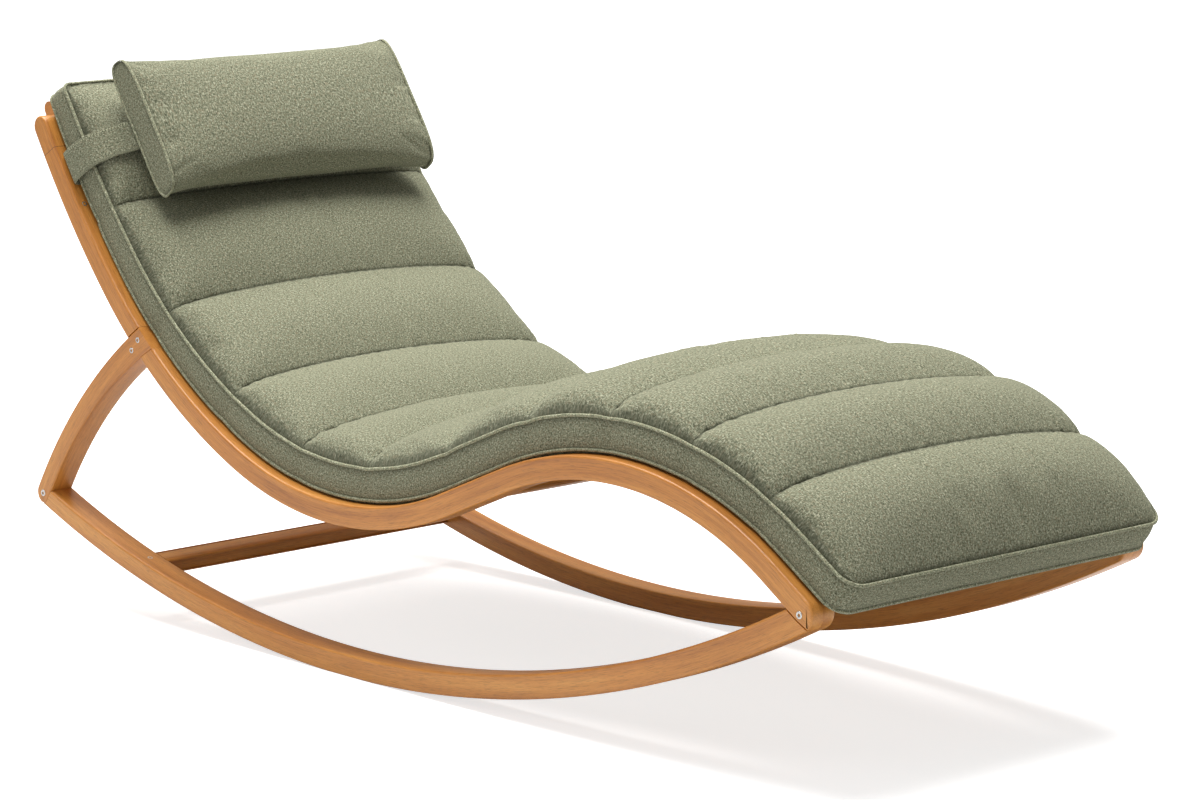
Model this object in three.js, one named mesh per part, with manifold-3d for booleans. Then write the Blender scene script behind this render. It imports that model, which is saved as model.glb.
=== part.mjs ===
// Rocking chaise lounge: two rails bent in one S-curve carry slats and a channelled cushion,
// two rockers and two struts close the side frames, and a pillow hangs over the back on its strap.
// Millimetres. X runs towards the foot end, Y to the sitter's left, Z up.
import * as THREE from 'three';
import { mergeVertices } from 'three/addons/utils/BufferGeometryUtils.js';
import Module from 'manifold-3d';

const wasm = await Module();
wasm.setup();

// Overall sizes and the stock of the bars
const overallWidth = 620;
const barWidth = 40;
const railDepth = 32;
const edgeRound = 3;
const gap = 0.3;
const overrun = 50;
const chordHeight = 0.15;

// Rockers: one sweep on the floor, with the reach of both bolts from its lowest point
const rockerRadius = 1900;
const rockerDepthRear = 28;
const rockerDepthFoot = 36;
const footReach = 867.5;
const rearReach = 705.8;
const footEndRadius = 22;
const rearEndRadius = 16;
const rockerFacetDeg = 3;

// Seat line, the top edge of the rails: its slopes fall towards the foot where they are positive
const headSlope = 60.0;
const shoulderSlope = 49.0;
const lumbarSlope = 23.3;
const thighSlope = -22.9;
const legSlope = 32.9;
const backRadius = 1450;
const lumbarRadius = 799;
const hollowRadius = 553;
const kneeRadius = 540;
const thighLength = 131;
const legLength = 71;

// Struts between the rear bolts and the rails
const strutSlope = 59.3;
const strutOuterRadius = 828;
const strutInnerRadius = 708;
const strutInnerOffset = 13;
const strutSpare = 76;

// Cross pieces
const slatWidth = 50;
const slatThickness = 14;
const slatFirst = 152;
const slatsAboveStrut = 2;
const slatsBelowStrut = 9;
const slatUpFromStrut = 80;
const slatDownFromStrut = 68;
const slatUpFromFootRail = 95;
const slatEdge = 2;
const tenonShoulder = 6;
const tenonLength = 33;
const footRailInset = 83.6;
const footRailWidth = 40;
const footRailThickness = 24;
const headRailRise = 24;
const headRailWidth = 46;
const headRailThickness = 22;
const headRailHousing = 10;
const backRailWidth = 40;
const backRailThickness = 22;
const stretcherPlace = -478;
const stretcherWidth = 33;
const stretcherDepth = 23;
const stretcherDrop = 1;
const stretcherShoulder = 4;
const stretcherTenon = 28;

// Bolts, sleeve nuts and screws
const boltRadius = 3;
const boltHeadRadius = 5;
const boltHeadHeight = 2.2;
const headProud = 0.8;
const hexRadius = 2.3;
const hexDepth = 1.6;
const sleeveRadius = 4;
const sleeveLength = 22;
const boltLength = 34;
const screwRadius = 2;
const screwHeadRadius = 4.2;
const upperScrewLength = 34;
const lowerScrewLength = 68;
const upperScrewDepth = 15;
const upperScrewInset = 14.5;
const lowerScrewDepth = 37.5;
const lowerScrewInset = 19.7;
const slatScrewInset = 13;
const slatScrewLength = 24;
const stretcherScrewLength = 24;
const flushHeadHeight = 1.5;
const flushRecess = 0.2;
const roundSides = 12;

// Cushion, from its own underside up: boxing, then a crown arched from side to side, whose sewn
// channels stand up between the seams
const cushionSideInset = 18;
const cushionHeadOverhang = 21;
const cushionFootOverhang = 34;
const boxingHeight = 50;
const boxingBulge = 3;
const crownArch = 42;
const crownArchUnderPillow = 26;
const channelPuff = 15;
const cushionHeadCorner = 10;
const cushionFootCorner = 27;
const crownShoulder = 150;
const channelShoulder = 44;
const cushionClearance = 0.5;
const cushionHemRound = 4;
const channelSteps = 6;

// Channel lengths along the seat line, from the head end, as shares of the cushion's length
const channelShares = [
  0.1125, 0.1072, 0.1018, 0.0954, 0.0842, 0.0997, 0.0906, 0.0782, 0.0734, 0.0723, 0.0847,
];

// Pillow and its strap
const pillowPlace = 100;
const pillowWidth = 490;
const pillowLength = 234;
const pillowEndThickness = 56;
const pillowFrontSwell = 16;
const pillowHeight = 122;
const pillowEndPower = 3.6;
const pillowMiddlePower = 2.4;
const pillowSwellPower = 2.5;
const pillowRows = 14;
const pillowColumns = 24;
const strapWidth = 50;
const strapThickness = 2;
const strapPlace = 96;
const strapSeamInset = 9;
const strapStandOff = 12.5;
const strapSteps = 18;
const headrestTravelDown = 30;
const strapZoneSpare = 40;

// The hanging half of the strap, from its seam on the pillow to the cushion's underside, as shares
// of the way out from the seam to the strap's outermost line and of the height of the seam
const strapShares = [
  [0, 1],
  [0.2, 0.993],
  [0.41, 0.938],
  [0.67, 0.82],
  [0.912, 0.62],
  [1, 0.342],
  [1, 0.119],
  [0.956, 0.03],
  [0.847, 0],
];

const halfWidth = overallWidth / 2;
const cushionWidth = overallWidth - 2 * cushionSideInset;
const innerFace = halfWidth - barWidth;
const halfLap = barWidth / 2;
const rad = THREE.MathUtils.degToRad;
const sides = [['right', -1], ['left', 1]];

const wood = new THREE.MeshStandardMaterial({ color: 0xc08a4e, roughness: 0.5, metalness: 0 });
const steel = new THREE.MeshStandardMaterial({ color: 0xb9b6ae, roughness: 0.35, metalness: 1 });
const fabric = new THREE.MeshStandardMaterial({ color: 0x868a6c, roughness: 0.95, metalness: 0 });

const parts = new THREE.Group();

function addPart(name, geometry, material) {
  const mesh = new THREE.Mesh(geometry, material);
  mesh.name = name;
  parts.add(mesh);
  return mesh;
}

// Solids: three.js geometry in, joined or cut, three.js geometry out
function toSolid(geometry) {
  const bare = geometry.clone();
  bare.deleteAttribute('normal');
  bare.deleteAttribute('uv');
  const merged = mergeVertices(bare);
  return new wasm.Manifold(new wasm.Mesh({
    numProp: 3,
    vertProperties: new Float32Array(merged.attributes.position.array),
    triVerts: new Uint32Array(merged.index.array),
  }));
}

function toGeometry(solid) {
  const mesh = solid.getMesh();
  const geometry = new THREE.BufferGeometry();
  geometry.setAttribute('position', new THREE.BufferAttribute(mesh.vertProperties, 3));
  geometry.setIndex(new THREE.BufferAttribute(mesh.triVerts, 1));
  geometry.computeVertexNormals();
  return geometry;
}

function cutAll(solid, tools) {
  return tools.reduce((left, tool) => left.subtract(tool), solid);
}

// A side view outline in X and Z, made solid between two places across the chair
function slab(outline, yFrom, yTo, round = 0) {
  const low = Math.min(yFrom, yTo);
  const high = Math.max(yFrom, yTo);
  const geometry = new THREE.ExtrudeGeometry(new THREE.Shape(outline), {
    depth: high - low - 2 * round,
    bevelEnabled: round > 0,
    bevelThickness: round,
    bevelSize: round,
    bevelOffset: -round,
    bevelSegments: 1,
  });
  geometry.rotateX(Math.PI / 2);
  geometry.translate(0, high - round, 0);
  return toSolid(geometry);
}

// The same on one side of the chair, between two depths counted inwards from its outer face
function sideSlab(outline, side, from, to, round = 0) {
  return slab(outline, side * (halfWidth - from), side * (halfWidth - to), round);
}

function pointAt(centre, radius, angle) {
  return new THREE.Vector2(centre.x + radius * Math.cos(angle), centre.y + radius * Math.sin(angle));
}

// Points along an arc, as many as keep its chords within the chord height
function arc(centre, radius, fromAngle, toAngle) {
  const stepAngle = 2 * Math.acos(1 - chordHeight / radius);
  const steps = Math.max(1, Math.ceil(Math.abs(toAngle - fromAngle) / stepAngle));
  const turn = (toAngle - fromAngle) / steps;
  return Array.from({ length: steps + 1 }, (_, i) => pointAt(centre, radius, fromAngle + i * turn));
}

// Rocker geometry: angles are counted from straight down, positive towards the foot
const rockerCentre = new THREE.Vector2(0, rockerRadius);
const footAngle = Math.asin(footReach / (rockerRadius - footEndRadius));
const rearAngle = -Math.asin(rearReach / (rockerRadius - rearEndRadius));

function onRocker(angle, height) {
  return pointAt(rockerCentre, rockerRadius - height, angle - Math.PI / 2);
}

function rockerDepth(angle) {
  const share = (angle - rearAngle) / (footAngle - rearAngle);
  return THREE.MathUtils.lerp(rockerDepthRear, rockerDepthFoot, share);
}

const footBolt = onRocker(footAngle, footEndRadius);
const rearBolt = onRocker(rearAngle, rearEndRadius);

// The facets of the sweep are counted from the lowest one, which lies flat on the floor
function rockerStations() {
  const step = rad(rockerFacetDeg);
  const stations = [];
  for (let i = Math.ceil(rearAngle / step - 0.5); (i + 0.5) * step < footAngle; i++) {
    stations.push((i + 0.5) * step);
  }
  return stations.filter((angle) => angle > rearAngle);
}

// A bar's end is rounded about its bolt, from the edge it is tangent to round to the opposite edge
function roundedEnd(bolt, radius, depth, tangentAngle, direction) {
  const lift = Math.asin((depth - radius) / radius);
  return arc(bolt, radius, tangentAngle, tangentAngle + direction * (Math.PI / 2 + lift));
}

function rockerOutline(grow) {
  const stations = rockerStations();
  const lower = stations.map((angle) => onRocker(angle, -grow));
  const upper = stations.map((angle) => onRocker(angle, rockerDepth(angle) + grow)).reverse();
  const footDown = footAngle - Math.PI / 2;
  const rearDown = rearAngle - Math.PI / 2;
  const footEnd = roundedEnd(footBolt, footEndRadius + grow, rockerDepthFoot + 2 * grow, footDown, 1);
  const rearEnd = roundedEnd(rearBolt, rearEndRadius + grow, rockerDepthRear + 2 * grow, rearDown, -1);
  return [...lower, ...footEnd, ...upper, ...rearEnd.reverse()];
}

// Seat line as a chain of arcs and straights, carried back from the foot bolt
const bends = [
  { radius: backRadius, turn: rad(headSlope - shoulderSlope) },
  { radius: lumbarRadius, turn: rad(shoulderSlope - lumbarSlope) },
  { radius: hollowRadius, turn: rad(lumbarSlope - thighSlope) },
  { straight: thighLength },
  { radius: kneeRadius, turn: rad(thighSlope - legSlope) },
  { straight: legLength },
];

function walk(bend, distance) {
  const { x, z, heading, curve } = bend;
  if (curve === 0) {
    return { x: x + distance * Math.cos(heading), z: z + distance * Math.sin(heading), heading };
  }
  const turned = heading + curve * distance;
  return {
    x: x + (Math.sin(turned) - Math.sin(heading)) / curve,
    z: z - (Math.cos(turned) - Math.cos(heading)) / curve,
    heading: turned,
  };
}

function chainBends() {
  let start = { x: 0, z: 0, heading: -rad(headSlope) };
  let place = 0;
  for (const bend of bends) {
    bend.length = bend.straight ?? bend.radius * Math.abs(bend.turn);
    bend.curve = bend.straight ? 0 : Math.sign(bend.turn) / bend.radius;
    Object.assign(bend, start, { place });
    start = walk(bend, bend.length);
    place += bend.length;
  }
  const normal = start.heading + Math.PI / 2;
  const end = pointAt(footBolt, footEndRadius, normal);
  for (const bend of bends) {
    bend.x += end.x - start.x;
    bend.z += end.y - start.z;
  }
  return place;
}

// The rails' tips are at place 0 and the foot bolts at boltPlace
const boltPlace = chainBends();

function seatHeading(place) {
  const bend = bends.findLast((each) => each.place <= place) ?? bends[0];
  return walk(bend, place - bend.place).heading;
}

function onSeat(place, height) {
  const bend = bends.findLast((each) => each.place <= place) ?? bends[0];
  const { x, z, heading } = walk(bend, place - bend.place);
  return new THREE.Vector2(x - height * Math.sin(heading), z + height * Math.cos(heading));
}

function seatPlaces(from, to) {
  const places = [from];
  for (const bend of bends) {
    const start = Math.max(from, bend.place);
    const end = Math.min(to, bend.place + bend.length);
    const longest = bend.curve === 0 ? bend.length : Math.sqrt(8 * chordHeight / Math.abs(bend.curve));
    const steps = Math.ceil((end - start) / longest);
    for (let i = 1; i <= steps; i++) {
      places.push(start + (end - start) * i / steps);
    }
  }
  return places;
}

function seatCurve(from, to, height) {
  return seatPlaces(from, to).map((place) => onSeat(place, height));
}

function railOutline(grow) {
  const headRound = railDepth / 2;
  const headCentre = onSeat(headRound, -headRound);
  const headHeading = seatHeading(headRound);
  const upper = seatCurve(headRound, boltPlace, grow);
  const lower = seatCurve(headRound, boltPlace, -railDepth - grow).reverse();
  const upAngle = seatHeading(boltPlace) + Math.PI / 2;
  const footEnd = roundedEnd(footBolt, footEndRadius + grow, railDepth + 2 * grow, upAngle, -1);
  const back = headHeading - Math.PI / 2;
  const headEnd = arc(headCentre, headRound + grow, back, back - Math.PI).slice(1, -1);
  return [...upper, ...footEnd.slice(1), ...lower.slice(1), ...headEnd];
}

// Strut geometry: two arcs about centres that lie inwards of the rear bolt, square to its slope
const strutInwards = rad(strutSlope - 90);
const strutOutwards = strutInwards + Math.PI;
const strutOuterCentre = pointAt(rearBolt, strutOuterRadius - rearEndRadius, strutInwards);
const strutInnerCentre = pointAt(rearBolt, strutInnerRadius + strutInnerOffset, strutInwards);

const halvings = 40;

// The place where the strut, an inset in from its outer edge, crosses one height of the seat line
function strutMeets(inset, height) {
  let headwards = bends[0].place;
  let footwards = bends[2].place;
  for (let i = 0; i < halvings; i++) {
    const middle = (headwards + footwards) / 2;
    if (onSeat(middle, height).distanceTo(strutOuterCentre) > strutOuterRadius - inset) {
      headwards = middle;
    } else {
      footwards = middle;
    }
  }
  return headwards;
}

// The outline runs on past the seat line by the spare length, and is trimmed there
const strutTop = onSeat(strutMeets(0, 0), 0).sub(strutOuterCentre);
const strutLength = strutOuterRadius * (strutOutwards - strutTop.angle()) + strutSpare;

function strutOutline(grow) {
  const outerEnd = strutOutwards - strutLength / strutOuterRadius;
  const innerEnd = strutOutwards - strutLength / strutInnerRadius;
  const outer = arc(strutOuterCentre, strutOuterRadius + grow, strutOutwards, outerEnd);
  const inner = arc(strutInnerCentre, strutInnerRadius - grow, strutOutwards, innerEnd);
  const endStart = strutInwards - Math.acos(strutInnerOffset / rearEndRadius);
  const end = arc(rearBolt, rearEndRadius + grow, endStart, strutInwards - Math.PI);
  return [...outer, ...inner.reverse(), ...end.slice(0, -1)];
}

// Everything in the side view below a line at one height above the seat line
function belowSeat(height) {
  const curve = seatCurve(0, boltPlace, height);
  const head = curve[0];
  const foot = curve[curve.length - 1];
  return [
    new THREE.Vector2(head.x - overrun, head.y),
    ...curve,
    new THREE.Vector2(foot.x, -overrun),
    new THREE.Vector2(head.x - overrun, -overrun),
  ];
}

// A board across the seat in side view, between two heights, with its upper edges eased
function boardOutline(centre, width, top, bottom, grow = 0, ease = 0) {
  const from = centre - width / 2 - grow;
  const to = centre + width / 2 + grow;
  return [
    ...(ease > 0 ? [onSeat(from, top - ease)] : []),
    ...seatCurve(from + ease, to - ease, top + grow),
    ...(ease > 0 ? [onSeat(to, top - ease)] : []),
    ...seatCurve(from, to, bottom - grow).reverse(),
  ];
}

function headRailOutline(grow) {
  const round = headRailThickness / 2;
  const centre = onSeat(round - headRailRise, round - railDepth);
  const heading = seatHeading(0);
  const back = heading - Math.PI / 2;
  const end = headRailWidth - headRailRise + grow;
  return [
    ...arc(centre, round + grow, back, back - Math.PI),
    onSeat(end, headRailThickness - railDepth + grow),
    onSeat(end, -railDepth - grow),
  ];
}

// The rear stretcher lies along the rockers' sweep, just below their upper edge
const stretcherAngle = Math.asin(stretcherPlace / rockerRadius);

function stretcherOutline(inset) {
  const top = rockerDepth(stretcherAngle) - stretcherDrop - inset;
  const bottom = rockerDepth(stretcherAngle) - stretcherDrop - stretcherDepth + inset;
  const halfAngle = (stretcherWidth / 2 - inset) / rockerRadius;
  return [
    onRocker(stretcherAngle - halfAngle, bottom),
    onRocker(stretcherAngle + halfAngle, bottom),
    onRocker(stretcherAngle + halfAngle, top),
    onRocker(stretcherAngle - halfAngle, top),
  ];
}

// Fasteners point down their own -Z from the face that their head is let into
function turned(profile) {
  const points = profile.map(([radius, height]) => new THREE.Vector2(radius, height));
  const geometry = new THREE.LatheGeometry(points, roundSides);
  geometry.rotateX(Math.PI / 2);
  return toSolid(geometry);
}

function hexSocket() {
  const socket = new THREE.CylinderGeometry(hexRadius, hexRadius, 2 * hexDepth, 6);
  socket.rotateX(Math.PI / 2);
  return socket;
}

function fastener({ headRadius, headHeight, proud, radius, length }, grow = 0) {
  const top = grow > 0 ? proud + overrun : proud;
  const solid = turned([
    [0, -length - grow],
    [radius + grow, -length - grow],
    [radius + grow, proud - headHeight - grow],
    [headRadius + grow, proud - headHeight - grow],
    [headRadius + grow, top],
    [0, top],
  ]);
  return grow > 0 ? solid : solid.subtract(toSolid(hexSocket().translate(0, 0, proud)));
}

const bolt = {
  headRadius: boltHeadRadius,
  headHeight: boltHeadHeight,
  proud: headProud,
  radius: boltRadius,
  length: boltLength,
};
const upperScrew = {
  headRadius: screwHeadRadius,
  headHeight: boltHeadHeight,
  proud: headProud,
  radius: screwRadius,
  length: upperScrewLength,
};
const lowerScrew = { ...upperScrew, length: lowerScrewLength };
const slatScrew = {
  headRadius: screwHeadRadius,
  headHeight: flushHeadHeight,
  proud: -flushRecess,
  radius: screwRadius,
  length: slatScrewLength,
};
const stretcherScrew = { ...slatScrew, length: stretcherScrewLength };

// A sleeve nut takes the bolt's end in its bore and has the same head on the inner face
function sleeveNut(grow = 0) {
  const top = grow > 0 ? headProud + overrun : headProud;
  const shell = turned([
    [0, -sleeveLength - grow],
    [sleeveRadius + grow, -sleeveLength - grow],
    [sleeveRadius + grow, headProud - boltHeadHeight - grow],
    [boltHeadRadius + grow, headProud - boltHeadHeight - grow],
    [boltHeadRadius + grow, top],
    [0, top],
  ]);
  if (grow > 0) {
    return shell;
  }
  const boreDepth = boltLength + sleeveLength - barWidth + gap;
  const bore = new THREE.CylinderGeometry(boltRadius + gap, boltRadius + gap, 2 * boreDepth, roundSides);
  bore.rotateX(Math.PI / 2);
  bore.translate(0, 0, -sleeveLength);
  const socket = hexSocket().translate(0, 0, headProud);
  return cutAll(shell, [toSolid(bore), toSolid(socket)]);
}

// A fastener's own frame: its head's face at one point of the side view, its +Z the way out
function facing(point, y, out) {
  const turn = new THREE.Quaternion().setFromUnitVectors(new THREE.Vector3(0, 0, 1), out);
  const scale = new THREE.Vector3(1, 1, 1);
  return new THREE.Matrix4().compose(new THREE.Vector3(point.x, y, point.y), turn, scale);
}

function placed(solid, matrix) {
  return toSolid(toGeometry(solid).applyMatrix4(matrix));
}

function addFastener(name, solid, matrix) {
  addPart(name, toGeometry(solid), steel).applyMatrix4(matrix);
}

const outwards = (side) => new THREE.Vector3(0, side, 0);
const upFromSeat = (place) => {
  const heading = seatHeading(place);
  return new THREE.Vector3(-Math.sin(heading), 0, Math.cos(heading));
};
const upFromRocker = new THREE.Vector3(-Math.sin(stretcherAngle), 0, Math.cos(stretcherAngle));

const upperScrewPlace = strutMeets(upperScrewInset, -upperScrewDepth);
const lowerScrewPlace = strutMeets(lowerScrewInset, -lowerScrewDepth);

function fastenerFrames(side) {
  return {
    footBolt: facing(footBolt, side * halfWidth, outwards(side)),
    footNut: facing(footBolt, side * innerFace, outwards(-side)),
    rearBolt: facing(rearBolt, side * halfWidth, outwards(side)),
    rearNut: facing(rearBolt, side * innerFace, outwards(-side)),
    upper: facing(onSeat(upperScrewPlace, -upperScrewDepth), side * halfWidth, outwards(side)),
    lower: facing(onSeat(lowerScrewPlace, -lowerScrewDepth), side * halfWidth, outwards(side)),
    slat: facing(onSeat(slatFirst, 0), side * (halfWidth - slatScrewInset), upFromSeat(slatFirst)),
    stretcher: facing(
      onRocker(stretcherAngle, rockerDepth(stretcherAngle)), side * (halfWidth - halfLap), upFromRocker),
  };
}

function spread(from, to, count) {
  return Array.from({ length: count }, (_, i) => THREE.MathUtils.lerp(from, to, i / (count - 1)));
}

// Side frames: the bars are halved into each other where they meet, and bolted through
const footRailPlace = boltPlace - footRailInset;
const slatPlaces = [
  ...spread(slatFirst, upperScrewPlace - slatUpFromStrut, slatsAboveStrut),
  ...spread(upperScrewPlace + slatDownFromStrut, footRailPlace - slatUpFromFootRail, slatsBelowStrut),
];
const tenonTop = -tenonShoulder;

function addSideFrame(sideName, side) {
  const frames = fastenerFrames(side);
  const outerHalf = [-overrun, halfLap + gap / 2];
  const innerHalf = [halfLap - gap / 2, barWidth + overrun];
  const blindHole = (depth) => [barWidth - depth - gap, barWidth + overrun];
  const hole = {
    footBolt: placed(fastener(bolt, gap), frames.footBolt),
    footNut: placed(sleeveNut(gap), frames.footNut),
    rearBolt: placed(fastener(bolt, gap), frames.rearBolt),
    rearNut: placed(sleeveNut(gap), frames.rearNut),
    upper: placed(fastener(upperScrew, gap), frames.upper),
    lower: placed(fastener(lowerScrew, gap), frames.lower),
    slat: placed(fastener(slatScrew, gap), frames.slat),
    stretcher: placed(fastener(stretcherScrew, gap), frames.stretcher),
  };

  const mortise = (centre, width, thickness) => sideSlab(
    boardOutline(centre, width, tenonTop, -thickness, gap), side, ...blindHole(tenonLength));
  const rail = cutAll(sideSlab(railOutline(0), side, 0, barWidth, edgeRound), [
    sideSlab(rockerOutline(gap), side, ...innerHalf),
    sideSlab(strutOutline(gap), side, ...outerHalf),
    sideSlab(headRailOutline(gap), side, ...blindHole(headRailHousing)),
    ...slatPlaces.map((place) => mortise(place, slatWidth, slatThickness)),
    mortise(footRailPlace, footRailWidth, footRailThickness),
    hole.footBolt, hole.footNut, hole.upper, hole.slat,
  ]);
  addPart(`rail_${sideName}`, toGeometry(rail), wood);

  const rocker = cutAll(sideSlab(rockerOutline(0), side, 0, barWidth, edgeRound), [
    sideSlab(railOutline(gap), side, ...outerHalf),
    sideSlab(strutOutline(gap), side, ...outerHalf),
    sideSlab(stretcherOutline(stretcherShoulder - gap), side, ...blindHole(stretcherTenon)),
    hole.footBolt, hole.footNut, hole.rearBolt, hole.rearNut, hole.stretcher,
  ]);
  addPart(`rocker_${sideName}`, toGeometry(rocker), wood);

  const bar = sideSlab(strutOutline(0), side, 0, barWidth, edgeRound);
  const tongue = bar.intersect(sideSlab(belowSeat(-gap), side, -overrun, halfLap - gap / 2));
  const shank = bar.intersect(sideSlab(belowSeat(-railDepth - gap), side, -overrun, barWidth + overrun));
  const strut = cutAll(tongue.add(shank), [
    sideSlab(rockerOutline(gap), side, ...innerHalf),
    hole.rearBolt, hole.rearNut, hole.upper, hole.lower,
  ]);
  addPart(`strut_${sideName}`, toGeometry(strut), wood);

  addFastener(`foot_bolt_${sideName}`, fastener(bolt), frames.footBolt);
  addFastener(`foot_nut_${sideName}`, sleeveNut(), frames.footNut);
  addFastener(`rear_bolt_${sideName}`, fastener(bolt), frames.rearBolt);
  addFastener(`rear_nut_${sideName}`, sleeveNut(), frames.rearNut);
  addFastener(`strut_screw_upper_${sideName}`, fastener(upperScrew), frames.upper);
  addFastener(`strut_screw_lower_${sideName}`, fastener(lowerScrew), frames.lower);
  addFastener(`slat_screw_${sideName}`, fastener(slatScrew), frames.slat);
  addFastener(`stretcher_screw_${sideName}`, fastener(stretcherScrew), frames.stretcher);
  return hole;
}

const holes = sides.map(([name, side]) => addSideFrame(name, side));

// Cross pieces between the side frames
const shoulder = innerFace - gap;

function addSlat(name, centre, width, thickness) {
  const body = slab(boardOutline(centre, width, 0, -thickness, 0, slatEdge), -shoulder, shoulder);
  const tenonReach = innerFace + tenonLength;
  const tenon = slab(boardOutline(centre, width, tenonTop, -thickness), -tenonReach, tenonReach);
  addPart(name, toGeometry(cutAll(body.add(tenon), holes.map((hole) => hole.slat))), wood);
}

slatPlaces.forEach((place, i) => addSlat(`slat_${i + 1}`, place, slatWidth, slatThickness));
addSlat('foot_rail', footRailPlace, footRailWidth, footRailThickness);

function addHeadRail() {
  const reach = innerFace + headRailHousing;
  addPart('head_rail', toGeometry(slab(headRailOutline(0), -reach, reach)), wood);
}

function addBackRail() {
  const top = backRailThickness / 2 - lowerScrewDepth;
  const outline = boardOutline(lowerScrewPlace, backRailWidth, top, top - backRailThickness);
  const rail = cutAll(slab(outline, -shoulder, shoulder), holes.map((hole) => hole.lower));
  addPart('back_rail', toGeometry(rail), wood);
}

function addStretcher() {
  const reach = innerFace + stretcherTenon;
  const body = slab(stretcherOutline(0), -shoulder, shoulder);
  const tenon = slab(stretcherOutline(stretcherShoulder), -reach, reach);
  addPart('rear_stretcher', toGeometry(cutAll(body.add(tenon), holes.map((hole) => hole.stretcher))), wood);
}

addHeadRail();
addBackRail();
addStretcher();

function middleOf(loop) {
  return loop.reduce((sum, point) => sum.add(point), new THREE.Vector3()).divideScalar(loop.length);
}

// A closed skin over a run of loops with equal counts, with a fan over each end
function skin(loops) {
  const count = loops[0].length;
  const vertices = [...loops.flat(), middleOf(loops[0]), middleOf(loops.at(-1))];
  const index = [];
  const headCentre = loops.length * count;
  const lastRow = (loops.length - 1) * count;
  for (let i = 0; i < count; i++) {
    const next = (i + 1) % count;
    index.push(headCentre, next, i, headCentre + 1, lastRow + i, lastRow + next);
    for (let row = 0; row < lastRow; row += count) {
      index.push(row + i, row + next, row + count + next, row + i, row + count + next, row + count + i);
    }
  }
  const geometry = new THREE.BufferGeometry().setFromPoints(vertices);
  geometry.setIndex(index);
  geometry.computeVertexNormals();
  return geometry;
}

// Cushion: the crown is an arch with a row of half-round channels, both fading into the boxing
const cushionFrom = -cushionHeadOverhang;
const cushionTo = boltPlace + cushionFootOverhang;
const cushionLength = cushionTo - cushionFrom;
const seams = [cushionFrom];
for (const share of channelShares) {
  seams.push(seams.at(-1) + share * cushionLength);
}
const strapTop = 2 * gap + strapThickness;
const strapZoneEnd = strapPlace + strapWidth / 2 + headrestTravelDown + strapZoneSpare;
const topShares = [1, 0.97, 0.88, 0.66, 0.34, 0, -0.34, -0.66, -0.88, -0.97, -1];

const quarterRound = (share) => Math.sqrt(1 - (1 - Math.min(share, 1)) ** 2);

function cushionPlaces() {
  const cornerShares = [0, 1 / 3, 2 / 3, 1].map((share) => 1 - Math.cos(share * Math.PI / 2));
  const within = [];
  for (let i = 0; i + 1 < seams.length; i++) {
    for (let step = 0; step < channelSteps; step++) {
      within.push(THREE.MathUtils.lerp(seams[i], seams[i + 1], step / channelSteps));
    }
  }
  const inner = within.filter((place) => (
    place > cushionFrom + cushionHeadCorner && place < cushionTo - cushionFootCorner));
  const head = cornerShares.map((share) => cushionFrom + share * cushionHeadCorner);
  const foot = cornerShares.map((share) => cushionTo - share * cushionFootCorner).reverse();
  return [...head, ...inner, ...foot];
}

function channelAt(place) {
  const last = seams.findLastIndex((seam) => seam <= place);
  const i = Math.min(last, seams.length - 2);
  const share = (place - seams[i]) / (seams[i + 1] - seams[i]);
  return Math.sqrt(Math.max(0, 4 * share * (1 - share)));
}

// The crown is lower under the pillow, and comes up to its full arch along the second channel
function archAt(place) {
  return THREE.MathUtils.lerp(
    crownArchUnderPillow, crownArch, THREE.MathUtils.smoothstep(place, seams[1], seams[2]));
}

function cushionLoop(place) {
  const inset = Math.min(place - cushionFrom, cushionTo - place);
  const corner = Math.max(
    cushionHeadCorner * (1 - quarterRound((place - cushionFrom) / cushionHeadCorner)),
    cushionFootCorner * (1 - quarterRound((cushionTo - place) / cushionFootCorner)),
  );
  const half = cushionWidth / 2 - corner;
  const bottom = place < strapZoneEnd ? strapTop : cushionClearance;
  const fade = 1 - (1 - Math.min(inset / crownShoulder, 1)) ** 2;
  const arch = fade * archAt(place);
  const puff = channelPuff * channelAt(place);
  const side = [
    [half - cushionHemRound, bottom],
    [half, bottom + cushionHemRound],
    [half + boxingBulge, boxingHeight / 2],
  ];
  const heightAt = (share) => boxingHeight + arch * Math.sqrt(1 - share ** 2)
    + puff * quarterRound((1 - Math.abs(share)) * half / channelShoulder);
  const top = topShares.map((share) => [share * half, heightAt(share)]);
  const section = [...side, ...top, ...side.map(([y, height]) => [-y, height]).reverse()];
  return section.map(([y, height]) => {
    const { x, y: z } = onSeat(place, height);
    return new THREE.Vector3(x, y, z);
  });
}

addPart('cushion', skin(cushionPlaces().map(cushionLoop)), fabric);

// Pillow: a flat stadium at both end panels that swells to a plump oval in the middle, and bends
// with the back that it lies against
const cushionTop = boxingHeight + crownArchUnderPillow + channelPuff;
const pillowRearSwell = pillowHeight - pillowEndThickness / 2 - cushionTop - gap;
const signedPower = (value, power) => Math.sign(value) * Math.abs(value) ** power;

function pillowLoop(y) {
  const swell = 1 - Math.abs(2 * y / pillowWidth) ** pillowSwellPower;
  const power = 2 / THREE.MathUtils.lerp(pillowEndPower, pillowMiddlePower, swell);
  return Array.from({ length: pillowColumns }, (_, i) => {
    const angle = -2 * Math.PI * i / pillowColumns;
    const front = Math.sin(angle) > 0;
    const thick = pillowEndThickness / 2 + swell * (front ? pillowFrontSwell : pillowRearSwell);
    const along = pillowLength / 2 * signedPower(Math.cos(angle), power);
    const up = thick * signedPower(Math.sin(angle), power);
    const { x, y: z } = onSeat(pillowPlace + along, pillowHeight + up);
    return new THREE.Vector3(x, y, z);
  });
}

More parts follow.
